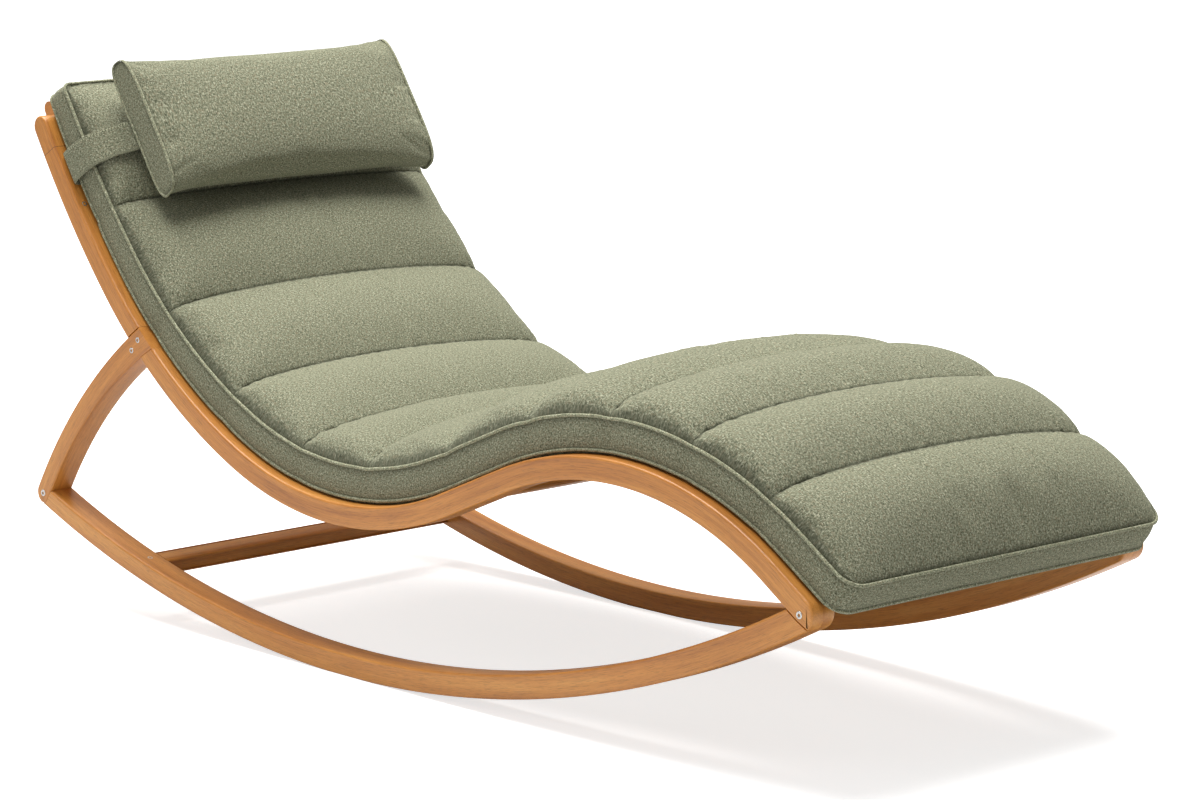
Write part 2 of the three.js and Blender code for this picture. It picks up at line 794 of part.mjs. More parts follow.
const pillowPlacesAcross = Array.from({ length: pillowRows + 1 }, (_, i) => (
  pillowWidth / 2 * Math.sin(Math.PI * (i / pillowRows - 0.5))));
addPart('pillow', skin(pillowPlacesAcross.map(pillowLoop)), fabric);

// Strap: one flat band from seam to seam, hanging clear of the boxing and led under the cushion
function strapLine() {
  const seamY = pillowWidth / 2 - strapSeamInset;
  const swellThere = 1 - (2 * seamY / pillowWidth) ** pillowSwellPower;
  const pillowRear = pillowHeight - pillowEndThickness / 2 - swellThere * pillowRearSwell;
  const seamHeight = pillowRear - gap - strapThickness / 2;
  const lowest = gap + strapThickness / 2;
  const outermost = cushionWidth / 2 + strapStandOff;
  const drop = strapShares.map(([out, height]) => new THREE.Vector3(
    THREE.MathUtils.lerp(seamY, outermost, out), THREE.MathUtils.lerp(lowest, seamHeight, height), 0));
  const leftHalf = new THREE.CatmullRomCurve3(drop, false, 'centripetal').getSpacedPoints(strapSteps);
  const rightHalf = leftHalf.map((point) => new THREE.Vector3(-point.x, point.y, 0)).reverse();
  return [...leftHalf, ...rightHalf];
}

function strapLoops() {
  const line = strapLine();
  const half = strapThickness / 2;
  const across = [-0.5, 0, 0.5].map((share) => strapPlace + share * strapWidth);
  return line.map((point, i) => {
    const before = line[Math.max(i - 1, 0)];
    const after = line[Math.min(i + 1, line.length - 1)];
    const direction = after.clone().sub(before).normalize();
    const offset = (sign) => [point.x - sign * half * direction.y, point.y + sign * half * direction.x];
    const corner = (place, [y, height]) => {
      const { x, y: z } = onSeat(place, height);
      return new THREE.Vector3(x, y, z);
    };
    const outer = across.map((place) => corner(place, offset(1)));
    const inner = across.map((place) => corner(place, offset(-1)));
    return [...outer, ...inner.reverse()];
  });
}

addPart('pillow_strap', skin(strapLoops()), fabric);

// The origin is on the floor below the middle of the chair's box
const box = new THREE.Box3().setFromObject(parts);
parts.position.set(-(box.min.x + box.max.x) / 2, 0, -box.min.z);
const chaise = new THREE.Group();
chaise.add(parts);

export default chaise;
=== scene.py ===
import bmesh
import bpy
import numpy as np
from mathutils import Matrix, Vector


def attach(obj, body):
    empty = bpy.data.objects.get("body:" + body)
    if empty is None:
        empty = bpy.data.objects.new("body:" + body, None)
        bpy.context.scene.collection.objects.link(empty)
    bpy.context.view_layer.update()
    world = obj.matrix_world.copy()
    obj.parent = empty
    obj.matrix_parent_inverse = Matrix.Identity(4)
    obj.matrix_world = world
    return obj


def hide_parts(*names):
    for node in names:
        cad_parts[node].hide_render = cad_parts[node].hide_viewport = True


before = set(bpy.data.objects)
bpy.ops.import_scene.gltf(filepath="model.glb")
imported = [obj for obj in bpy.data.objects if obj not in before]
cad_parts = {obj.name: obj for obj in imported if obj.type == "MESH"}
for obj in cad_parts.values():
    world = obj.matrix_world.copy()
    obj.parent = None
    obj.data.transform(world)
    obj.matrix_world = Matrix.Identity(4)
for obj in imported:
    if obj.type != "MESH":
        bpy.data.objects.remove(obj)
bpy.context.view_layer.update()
scene = bpy.context.scene

# The camera
# A long lens from the foot end's right, a little above the seat, as in the photograph. The view
# turns 47.2 degrees from square on to the side and looks down by 10.1 degrees.
camera_turn, camera_drop = np.radians([47.227, 10.112])
camera_lens = bpy.data.cameras.new("camera")
camera_lens.lens = 126.0


def add_object(name, data):
    """An object of this data, in the scene."""
    item = bpy.data.objects.new(name, data)
    scene.collection.objects.link(item)
    return item


def aimed(name, data, place, way):
    """A camera or lamp at a place, looking a way."""
    item = add_object(name, data)
    item.location = place
    item.rotation_euler = Vector(way).to_track_quat("-Z", "Y").to_euler()
    return item


scene.camera = aimed("camera", camera_lens, (4.24031, -3.8579, 1.38375), (
    -np.sin(camera_turn) * np.cos(camera_drop),
    np.cos(camera_turn) * np.cos(camera_drop),
    -np.sin(camera_drop),
))

# The seat line
# The top edge of both rails in side view, a chain of arcs and two straights from the head tip to
# the foot bolt. Every piece of the seat is laid along it by its place and its height above it.
mid_x = -0.1067
floor_drop = 0.000651
rocker_radius = 1.9
foot_reach, foot_end_radius = 0.8675, 0.022
rear_reach, rear_end_radius = 0.7058, 0.016
rocker_centre = np.array([mid_x, rocker_radius - floor_drop])
foot_angle = np.arcsin(foot_reach / (rocker_radius - foot_end_radius))
rear_angle = -np.arcsin(rear_reach / (rocker_radius - rear_end_radius))


def pairs(first, second):
    """Two numbers at each point: one array beside another, or beside one number."""
    return np.stack(np.broadcast_arrays(first, second), -1)


def on_rocker(angle, height):
    """Points at an angle from straight down on the runners' sweep, a height inside it."""
    reach = rocker_radius - height
    return rocker_centre + pairs(reach * np.sin(angle), -reach * np.cos(angle))


foot_bolt = on_rocker(foot_angle, foot_end_radius)
rear_bolt = on_rocker(rear_angle, rear_end_radius)

slopes = np.radians([60.0, 49.0, 23.3, -22.9, -22.9, 32.9, 32.9])
bend_radii = np.array([1.450, 0.799, 0.553, 0.0, 0.540, 0.0])
straights = np.array([0.0, 0.0, 0.0, 0.131, 0.0, 0.071])
bend_lengths = np.abs(np.diff(slopes)) * bend_radii + straights
bend_places = np.concatenate([[0.0], np.cumsum(bend_lengths)])
bolt_place = bend_places[-1]
beyond = 0.2
line_places = np.arange(-beyond, bolt_place + beyond, 0.001)
head_slope = slopes[0] + beyond / bend_radii[0]


def heading_at(place):
    """The seat line's heading, which turns evenly along each arc and not on the straights."""
    places = np.concatenate([[-beyond], bend_places, [bolt_place + beyond]])
    return -np.interp(place, places, np.concatenate([[head_slope], slopes, slopes[-1:]]))


line_step = np.diff(line_places)
line_turn = heading_at((line_places[1:] + line_places[:-1]) / 2)
line_x = np.concatenate([[0.0], np.cumsum(line_step * np.cos(line_turn))])
line_z = np.concatenate([[0.0], np.cumsum(line_step * np.sin(line_turn))])
end_normal = heading_at(bolt_place) + np.pi / 2
line_end = foot_bolt + foot_end_radius * np.array([np.cos(end_normal), np.sin(end_normal)])
line_x += line_end[0] - np.interp(bolt_place, line_places, line_x)
line_z += line_end[1] - np.interp(bolt_place, line_places, line_z)


def line_at(place):
    """The x and z of the seat line's point at a place."""
    return np.interp(place, line_places, line_x), np.interp(place, line_places, line_z)


def on_seat(place, height):
    """Side-view points: the seat line's point at a place, moved by a height along its normal."""
    turn = heading_at(place)
    x, z = line_at(place)
    return pairs(x - height * np.sin(turn), z + height * np.cos(turn))


def laid_on_seat(places, sideways, heights):
    """Points of the lounge from their place, their way sideways and their height."""
    side_view = on_seat(places, heights)
    return np.stack([side_view[..., 0], np.broadcast_to(sideways, places.shape), side_view[..., 1]], -1)


def place_on_seat(x, z):
    """A point's place and height, found by stepping along the seat line towards its foot point."""
    place = np.interp(x, line_x, line_places)
    for _ in range(12):
        turn = heading_at(place)
        gap_x, gap_z = np.subtract((x, z), line_at(place))
        place = place + gap_x * np.cos(turn) + gap_z * np.sin(turn)
    return place, gap_z * np.cos(turn) - gap_x * np.sin(turn)


# The side frames
# Six bars of oiled hardwood, 40 mm wide: an S-bent rail, a runner and a curved strut on each side.
# They are sawn to their curves, rounded over at the rims and halved into each other at the ends.
half_width, bar_width, rail_depth = 0.310, 0.040, 0.032
inner_face = half_width - bar_width
rim_round = 0.003
joint_gap = 0.0003
rim_steps, face_inset = 4, 1.3
sides = {"right": -1, "left": 1}
rng = np.random.default_rng(7)


def add_mesh(name, points, faces):
    """A mesh object of the given points and faces."""
    mesh = bpy.data.meshes.new(name)
    mesh.from_pydata(points, [], faces)
    return add_object(name, mesh)


def new_piece(name, points, faces, body, corner_uv=None, smooth_below=35):
    """A piece of a body, smooth where it bends gently."""
    piece = add_mesh(name, points.reshape(-1, 3), faces)
    mesh = piece.data
    if corner_uv is not None:
        layer = mesh.uv_layers.new(name="cloth")
        layer.data.foreach_set("uv", corner_uv.astype(np.float32).ravel())
    mesh.validate()
    mesh.shade_smooth()
    mesh.set_sharp_from_angle(angle=np.radians(smooth_below))
    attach(piece, body)
    return piece


def grid_faces(rows, columns, wrap=False):
    """Quads of a grid of points, row by row; with wrap the last column joins the first."""
    row = np.arange(rows - 1)[:, None] * columns
    column = np.arange(columns if wrap else columns - 1)[None, :]
    after = (column + 1) % columns
    below = row + columns
    return np.stack([row + column, row + after, below + after, below + column], -1).reshape(-1, 4)


def turned_way(loop):
    """1 where a closed outline runs against the clock and -1 where it runs with it."""
    after = np.roll(loop, -1, 0)
    return np.sign(np.sum(loop[:, 0] * after[:, 1] - loop[:, 1] * after[:, 0]))


def outwards_of(loop):
    """Unit normals of a closed outline, square to the line between both neighbours."""
    along = np.roll(loop, -1, 0) - np.roll(loop, 1, 0)
    along /= np.linalg.norm(along, axis=1, keepdims=True)
    return turned_way(loop) * np.stack([along[:, 1], -along[:, 0]], 1)


def slab(loop, low, high, rounding=0.0):
    """A side-view outline made solid from low to high across the lounge.

    Each rim's rows are the outline moved in by rounding * (1 - sin a) at rounding * (1 - cos a)
    below the face, with a up to a quarter turn, after one row that lies further in. Both faces
    are strips of quads between point k of the outline and point k from its end.
    """
    inset = depth = np.zeros(1)
    if rounding > 0:
        turn = np.linspace(0, np.pi / 2, rim_steps + 1)
        inset = np.concatenate([[face_inset * rounding], rounding * (1 - np.sin(turn))])
        depth = np.concatenate([[0.0], rounding * (1 - np.cos(turn))])
    inset = np.concatenate([inset, inset[::-1]])
    level = np.concatenate([low + depth, (high - depth)[::-1]])
    flat = loop[None] - inset[:, None, None] * outwards_of(loop)[None]
    points = np.stack([flat[..., 0], np.broadcast_to(level[:, None], flat.shape[:2]), flat[..., 1]], -1)
    rows, count = flat.shape[:2]
    walls = grid_faces(rows, count, wrap=True)
    k = np.arange(count // 2 - 1)
    face = np.stack([k, k + 1, count - 2 - k, count - 1 - k], -1)
    caps = np.concatenate([face, face[:, ::-1] + (rows - 1) * count])
    turned = [walls[:, ::-1], caps] if turned_way(loop) > 0 else [walls, caps[:, ::-1]]
    return points.reshape(-1, 3), np.concatenate(turned)


def arc(centre, radius, start, end, count):
    """Evenly spaced points on an arc."""
    angle = np.linspace(start, end, count)
    return centre + radius * pairs(np.cos(angle), np.sin(angle))


def mirrored_loop(upper, lower, first_end, last_end):
    """One closed outline from the middle of its first end on, so that its points pair up."""
    half = len(first_end) // 2
    return np.concatenate([first_end[half:], upper, last_end, lower[::-1], first_end[:half]])


def round_end(centre, radius, start, end):
    """An arc about a bar's end, without the points that its edges already have."""
    return arc(centre, radius, start, end, 22)[1:-1]


def bar_end(bolt, radius, depth, tangent, direction, grow):
    """The round end about a bolt, from one edge, which is tangent to it, to the other."""
    lift = np.arcsin((depth - radius + grow) / (radius + grow))
    return round_end(bolt, radius + grow, tangent, tangent + direction * (np.pi / 2 + lift))


def rail_loop(grow=0.0):
    """The rail: its upper edge is the seat line and its lower edge lies one depth below."""
    tip = rail_depth / 2
    places = np.linspace(tip, bolt_place, 260)
    back = heading_at(tip) - np.pi / 2
    head_end = round_end(on_seat(tip, -tip), tip + grow, back, back - np.pi)
    up = heading_at(bolt_place) + np.pi / 2
    foot_end = bar_end(foot_bolt, foot_end_radius, rail_depth, up, -1, grow)
    lower = on_seat(places, -rail_depth - grow)
    return mirrored_loop(on_seat(places, grow), lower, head_end, foot_end)


rocker_depth_rear, rocker_depth_foot = 0.028, 0.036
facet = np.radians(3.0)


def rocker_depth(angle):
    """The runner's depth, which grows evenly from its rear end to its foot end."""
    share = (angle - rear_angle) / (foot_angle - rear_angle)
    return rocker_depth_rear + share * (rocker_depth_foot - rocker_depth_rear)


def rocker_loop(grow=0.0):
    """The runner: a round sweep whose lowest three degrees are flat on the floor."""
    angles = np.linspace(rear_angle, foot_angle, 200)
    lower = on_rocker(angles, -grow)
    standing = np.abs(angles) < facet / 2
    lower[standing, 1] = rocker_centre[1] - (rocker_radius + grow) * np.cos(facet / 2)
    rear_end = bar_end(rear_bolt, rear_end_radius, rocker_depth_rear, rear_angle - np.pi / 2, -1, grow)
    foot_end = bar_end(foot_bolt, foot_end_radius, rocker_depth_foot, foot_angle - np.pi / 2, 1, grow)
    upper = on_rocker(angles, rocker_depth(angles) + grow)
    return mirrored_loop(lower, upper, rear_end[::-1], foot_end)


strut_slope = np.radians(59.3)
strut_outer, strut_inner = 0.828, 0.708
strut_inner_offset, strut_length = 0.013, 0.455
inwards = strut_slope - np.pi / 2
inwards_way = np.array([np.cos(inwards), np.sin(inwards)])
strut_centre = rear_bolt + (strut_outer - rear_end_radius) * inwards_way
strut_inner_centre = rear_bolt + (strut_inner + strut_inner_offset) * inwards_way


def strut_loop(grow=0.0):
    """The strut: two arcs that draw apart from its round lower end up to the rail."""
    out = inwards + np.pi
    outer = arc(strut_centre, strut_outer + grow, out, out - strut_length / strut_outer, 90)
    inner = arc(strut_inner_centre, strut_inner - grow, out, out - strut_length / strut_inner, 90)
    lift = np.arcsin(strut_inner_offset / rear_end_radius)
    start = inwards - np.pi / 2 + lift
    low_end = round_end(rear_bolt, rear_end_radius + grow, start, out - 2 * np.pi)
    return mirrored_loop(outer, inner, low_end, outer[:0])


def above_loop(height):
    """What lies above a height over the seat line near the struts' upper ends."""
    places = np.linspace(0.2, 0.6, 80)
    return np.concatenate([on_seat(places, height), on_seat(places, 0.25)[::-1]])


def with_modifiers(piece):
    """A piece as its modifiers leave it."""
    return piece.evaluated_get(bpy.context.evaluated_depsgraph_get())


def points_of(piece):
    """A piece's points as one array."""
    points = np.empty(len(piece.data.vertices) * 3)
    piece.data.vertices.foreach_get("co", points)
    return points.reshape(-1, 3)


def fitted(loop, span, cuts):
    """The points and faces of a bar with its rims rounded and its joints cut."""
    bar = add_mesh("uncut", *slab(loop, *span, rim_round))
    for cut in cuts:
        tool = add_mesh("tool", *cut)
        joint = bar.modifiers.new("joint", "BOOLEAN")
        joint.operation, joint.solver, joint.object = "DIFFERENCE", "EXACT", tool
        cut_mesh = bpy.data.meshes.new_from_object(with_modifiers(bar))
        bar.modifiers.clear()
        bar.data = cut_mesh
        bpy.data.objects.remove(tool)
    shape = points_of(bar), [tuple(polygon.vertices) for polygon in bar.data.polygons]
    bpy.data.objects.remove(bar)
    return shape


class Nodes:
    """A short way to write nodes and the links between them."""

    def __init__(self, owner, shader="Principled BSDF"):
        owner.use_nodes = True
        self.owner = owner
        self.tree = owner.node_tree
        self.shader = self.tree.nodes[shader]

    def feed(self, node, sources):
        """Links a node's inputs to other nodes' outputs, or sets them to values."""
        for socket, source in sources.items():
            if isinstance(source, bpy.types.NodeSocket):
                self.tree.links.new(source, node.inputs[socket])
            else:
                node.inputs[socket].default_value = source
        return node

    def add(self, kind, sources=None, **settings):
        node = self.tree.nodes.new("ShaderNode" + kind)
        for key, value in settings.items():
            setattr(node, key, value)
        return self.feed(node, sources or {})

    def noise(self, vector, fineness, detail=3.0, roughness=0.55):
        """Noise with its own fineness, per metre, in each of the vector's three directions."""
        place = self.add("Mapping", {"Vector": vector, "Scale": fineness}).outputs["Vector"]
        return self.add("TexNoise", {
            "Vector": place, "Scale": 1.0, "Detail": detail, "Roughness": roughness}).outputs["Fac"]

    def maths(self, operation, first, second=0.0, third=0.0):
        return self.add("Math", {0: first, 1: second, 2: third}, operation=operation).outputs[0]

    def ramp(self, factor, stops):
        node = self.add("ValToRGB", {"Fac": factor})
        ramp = node.color_ramp
        while len(ramp.elements) < len(stops):
            ramp.elements.new(0.5)
        for element, (position, colour) in zip(ramp.elements, stops):
            element.position = position
            element.color = (*colour, 1.0)
        return node.outputs["Color"]

    def mix(self, factor, first, second, blend="MIX"):
        first, second = [(*tone, 1.0) if isinstance(tone, tuple) else tone for tone in (first, second)]
        node = self.add("Mix", {0: factor, 6: first, 7: second}, data_type="RGBA", blend_type=blend)
        return node.outputs[2]

    def finish(self, colour, roughness, height, distance, others):
        """The surface's colour, roughness and bump, and the shader's other inputs."""
        bump = self.add("Bump", {"Height": height, "Strength": 1.0, "Distance": distance})
        self.feed(self.shader, {
            "Base Color": colour, "Roughness": roughness, "Normal": bump.outputs["Normal"], **others})
        return self.owner


def oiled_wood(name, glue_line=None):
    """Honey-coloured hardwood: long fibres, slow bands of tone and short dark pores.

    glue_line is the place along the grain where two lengths of the bar are glued together.
    """
    nodes = Nodes(bpy.data.materials.new(name))
    grain = nodes.add("Attribute", attribute_name="grain").outputs["Vector"]
    bands = nodes.noise(grain, (2.2, 42.0, 42.0), 3.0)
    fibres = nodes.noise(grain, (14.0, 620.0, 620.0), 4.0, 0.65)
    pores = nodes.noise(grain, (60.0, 1500.0, 1500.0), 2.0)
    blotches = nodes.noise(grain, (7.0, 12.0, 12.0), 2.0)
    tone = nodes.maths("MULTIPLY_ADD", fibres, 0.35, nodes.maths("MULTIPLY", bands, 0.65))
    base = nodes.ramp(tone, [
        (0.32, (0.300, 0.095, 0.014)),
        (0.45, (0.485, 0.186, 0.030)),
        (0.56, (0.615, 0.264, 0.051)),
        (0.70, (0.720, 0.354, 0.085)),
    ])
    patchy = nodes.mix(nodes.maths("MULTIPLY", blotches, 0.45), base, (0.62, 0.230, 0.040))
    dark_pores = nodes.ramp(pores, [(0.34, (0.45, 0.45, 0.45)), (0.46, (1.0, 1.0, 1.0))])
    colour = nodes.mix(0.55, patchy, dark_pores, "MULTIPLY")
    if glue_line is not None:
        along = nodes.add("SeparateXYZ", {"Vector": grain}).outputs["X"]
        off_line = nodes.maths("ABSOLUTE", nodes.maths("SUBTRACT", along, glue_line))
        on_line = nodes.maths("LESS_THAN", off_line, 0.0004)
        colour = nodes.mix(on_line, colour, (0.13, 0.05, 0.02))
    roughness = nodes.maths("MULTIPLY_ADD", fibres, 0.22, 0.30)
    height = nodes.maths("MULTIPLY_ADD", pores, 0.4, fibres)
    oil = {"Coat Weight": 0.18, "Coat Roughness": 0.22}
    return nodes.finish(colour, roughness, height, 0.00012, oil)


def add_wood(name, node, points, faces, grain_of, glue_at=None):
    """A wooden piece, cut from its own place in the timber.

    grain_of turns x, y and z into the way along the fibres and two ways across them. Two lengths
    of the piece are glued together at glue_at along the fibres.
    """
    piece = new_piece(name, points, faces, "frame")
    shift = rng.uniform(0, 20, 3)
    grain = np.stack(grain_of(*points_of(piece).T), -1) + shift
    attribute = piece.data.attributes.new("grain", "FLOAT_VECTOR", "POINT")
    attribute.data.foreach_set("vector", grain.astype(np.float32).ravel())
    material = wood if glue_at is None else oiled_wood(f"oiled_wood_{node}", shift[0] + glue_at)
    piece.data.materials.append(material)
    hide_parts(node)


wood = oiled_wood("oiled_wood")
half_lap = bar_width / 2
glue_place = 0.056
overrun = 0.03


def across(side, start, end):
    """Low and high across the lounge for two depths from a side's outer face."""
    return sorted((side * (half_width - start), side * (half_width - end)))


def rail_grain(x, y, z):
    return *place_on_seat(x, z), y


def rocker_grain(x, y, z):
    off = x - rocker_centre[0], z - rocker_centre[1]
    return np.arctan2(off[0], -off[1]) * rocker_radius, np.hypot(*off), y


def strut_grain(x, y, z):
    off = x - strut_centre[0], z - strut_centre[1]
    return np.arctan2(off[1], -off[0]) * strut_outer, np.hypot(*off), y


for hand, side in sides.items():
    outer_half = across(side, -overrun, half_lap + joint_gap / 2)
    inner_half = across(side, half_lap - joint_gap / 2, bar_width + overrun)
    whole = across(side, 0, bar_width)
    rocker_tongue = slab(rocker_loop(joint_gap), *inner_half)
    strut_tongue = slab(strut_loop(joint_gap), *outer_half)
    rail_tongue = slab(rail_loop(joint_gap), *outer_half)
    rail = fitted(rail_loop(), whole, [rocker_tongue, strut_tongue])
    add_wood(f"bent_rail_{hand}", f"rail_{hand}", *rail, rail_grain, glue_place)
    rocker = fitted(rocker_loop(), whole, [rail_tongue, strut_tongue])
    add_wood(f"runner_{hand}", f"rocker_{hand}", *rocker, rocker_grain)
    above_tongue = slab(above_loop(-joint_gap), *across(side, -overrun, bar_width + overrun))
    above_shank = slab(above_loop(-rail_depth - joint_gap), *inner_half)
    strut = fitted(strut_loop(), whole, [rocker_tongue, above_tongue, above_shank])
    add_wood(f"curved_strut_{hand}", f"strut_{hand}", *strut, strut_grain)

# The cross pieces
# Eleven slats and the foot rail lie between the rails on short tenons, with the back rail between
# the struts' screws. The head rail is housed in the rails, and the stretcher joins the runners.
slat_first, slat_pitch, slat_count = 0.152, 0.148, 11
slat_width, slat_thickness, slat_round = 0.050, 0.014, 0.0025
tenon_shoulder, tenon_length, tenon_round, tenon_play = 0.006, 0.033, 0.0005, 0.0002
shoulder = inner_face - joint_gap
upper_screw_depth, lower_screw_depth, slat_screw_y = 0.015, 0.0375, half_width - 0.013


def board_section(width, thickness, corner):
    """A board's section: width along the seat line, thickness below it, corners eased."""
    half = width / 2 - corner
    right_top = arc([half, -corner], corner, 0, np.pi / 2, 6)
    left_top = right_top[::-1] * [-1, 1]
    right_low = right_top[::-1] * [1, -1] - [0, thickness]
    left_low = -right_top - [0, thickness]
    top = pairs(np.linspace(-half, half, 8)[1:-1], 0.0)
    return np.concatenate([left_low, left_top, top, right_top, right_low, top[::-1] - [0, thickness]])


def add_board(name, node, *parts):
    """A cross piece of one or two parts, a body and its tenons: each an outline and its reach."""
    slabs = [slab(outline, -reach, reach) for outline, reach in parts]
    points, faces = zip(*slabs)
    faces = [faces[part] + part * len(points[0]) for part in range(len(parts))]
    add_wood(name, node, np.concatenate(points), np.concatenate(faces), lambda x, y, z: (y, x, z))


def on_seat_at(place, section, top=0.0):
    """A section laid in side view at a place of the seat line."""
    return on_seat(place + section[:, 0], top + section[:, 1])


def seat_board(name, node, place, width, thickness):
    """A board laid across the seat at a place, its face flush with the rails' upper edges."""
    tenon = board_section(width - tenon_play, thickness - tenon_shoulder, tenon_round)
    add_board(
        name, node, (on_seat_at(place, board_section(width, thickness, slat_round)), shoulder),
        (on_seat_at(place, tenon, -tenon_shoulder), inner_face + tenon_length))


for number in range(slat_count):
    seat_board(
        f"seat_slat_{number + 1}", f"slat_{number + 1}",
        slat_first + number * slat_pitch, slat_width, slat_thickness)
seat_board("seat_foot_rail", "foot_rail", 1.727, 0.040, 0.024)

back_rail_place, back_rail_width, back_rail_thickness = 0.380, 0.040, 0.022
back_rail_top = back_rail_thickness / 2 - lower_screw_depth
back_section = board_section(back_rail_width, back_rail_thickness, slat_round)
back_loop = on_seat_at(back_rail_place, back_section, back_rail_top)
add_board("lower_back_rail", "back_rail", (back_loop, shoulder))

head_rise, head_width, head_thickness, head_housing = 0.024, 0.046, 0.022, 0.010
head_round = head_thickness / 2
head_back = heading_at(0.0) - np.pi / 2
head_middle = on_seat(head_round - head_rise, head_round - rail_depth)
head_arc = arc(head_middle, head_round, head_back, head_back - np.pi, 24)
head_places = np.linspace(head_round - head_rise, head_width - head_rise, 12)[1:]
head_upper = on_seat(head_places, head_thickness - rail_depth)
head_lower = on_seat(head_places, -rail_depth)
head_loop = mirrored_loop(head_upper, head_lower, head_arc, head_arc[:0])
add_board("top_head_rail", "head_rail", (head_loop, inner_face + head_housing))

stretcher_angle = -np.arcsin(0.478 / rocker_radius)
stretcher_width, stretcher_depth, stretcher_drop = 0.033, 0.023, 0.001
stretcher_shoulder, stretcher_reach = 0.004, inner_face + 0.028
stretcher_top = rocker_depth(stretcher_angle) - stretcher_drop
stretcher_parts = []
for drop, corner, reach in (0, rim_round, shoulder), (stretcher_shoulder, tenon_round, stretcher_reach):
    section = board_section(stretcher_width - 2 * drop, stretcher_depth - 2 * drop, corner)
    angles = stretcher_angle + section[:, 0] / rocker_radius
    stretcher_parts.append((on_rocker(angles, stretcher_top - drop + section[:, 1]), reach))
add_board("low_stretcher", "rear_stretcher", *stretcher_parts)

# The bolts and screws
# Steel bolts with low round heads and a six-sided socket, in sleeve nuts with the same head, and
# countersunk screws. All are let into the wood until the head's rim stands just proud of it.
steel = Nodes(bpy.data.materials.new("plated_steel"))
steel_marks = steel.noise(steel.add("TexCoord").outputs["Object"], (900.0, 900.0, 900.0), 4.0)
steel_colour = steel.ramp(steel_marks, [(0.3, (0.55, 0.54, 0.52)), (0.7, (0.72, 0.71, 0.68))])
steel_roughness = steel.maths("MULTIPLY_ADD", steel_marks, 0.2, 0.22)
steel.finish(steel_colour, steel_roughness, steel_marks, 0.00003, {"Metallic": 1.0})
socket_shadow = Nodes(bpy.data.materials.new("socket_shadow"))
socket_shadow.feed(socket_shadow.shader, {"Base Color": (0.03, 0.028, 0.026, 1.0), "Roughness": 0.5})

# each kind's head radius and height, shank radius, whole length, and how far its head stands proud
bolt = 0.005, 0.0022, 0.003, 0.034, 0.0008
sleeve_nut = 0.005, 0.0022, 0.004, 0.022, 0.0008
short_screw = 0.0042, 0.0022, 0.002, 0.034, 0.0008
long_screw = 0.0042, 0.0022, 0.002, 0.068, 0.0008
top_screw = 0.0042, 0.0015, 0.002, 0.024, 0.0001
head_rim, hex_radius, hex_depth, chamfer_width, chamfer_depth = 0.0005, 0.0023, 0.0016, 0.0003, 0.0002


def add_fastener(name, node, kind, side_view, y, out):
    """A bolt, nut or screw with its head at a side-view point and y, looking out of the wood.

    It is turned from rows of a radius, a height and a 0 where it is round or a 1 where six-sided.
    """
    head_radius, head_height, shank_radius, length, proud = kind
    low = proud - head_height
    profile = [
        (0.0, proud - hex_depth, 1),
        (hex_radius, proud - hex_depth, 1),
        (hex_radius, proud - chamfer_depth, 1),
        (hex_radius + chamfer_width, proud, 1),
        (head_radius - head_rim, proud, 0),
        (head_radius - head_rim * 0.3, proud - head_rim * 0.3, 0),
        (head_radius, proud - head_rim, 0),
        (head_radius, low, 0),
        (shank_radius, low, 0),
        (shank_radius, -length + shank_radius, 0),
        (0.0, -length, 0),
    ]
    radius, height, hexness = np.array(profile).T[:, :, None]
    angle = np.linspace(0, 2 * np.pi, 48, endpoint=False)[None]
    sixth = np.cos(np.pi / 6) / np.cos((angle % (np.pi / 3)) - np.pi / 6)
    reach = radius * (1 + hexness * (sixth - 1))
    level = np.broadcast_to(height, reach.shape)
    rings = np.stack([reach * np.cos(angle), reach * np.sin(angle), level], -1)
    turn = np.array(Vector(out).to_track_quat("Z", "Y").to_matrix())
    points = rings.reshape(-1, 3) @ turn.T + [side_view[0], y, side_view[1]]
    faces = grid_faces(*rings.shape[:2], wrap=True)[:, ::-1]
    piece = new_piece(name, points, faces, "frame", smooth_below=50)
    weld(piece)
    piece.data.materials.append(steel.owner)
    piece.data.materials.append(socket_shadow.owner)
    in_socket = np.arange(len(piece.data.polygons)) < 2 * rings.shape[1]
    piece.data.polygons.foreach_set("material_index", in_socket.astype(np.int32))
    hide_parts(node)


def weld(piece, distance=1e-6):
    """Joins the points of a piece that lie on each other, such as a pole's or a seam's."""
    work = bmesh.new()
    work.from_mesh(piece.data)
    bmesh.ops.remove_doubles(work, verts=work.verts, dist=distance)
    work.to_mesh(piece.data)
    work.free()


def upright(heading):
    """The way square to a heading of the side view, upwards."""
    return -np.sin(heading), 0, np.cos(heading)


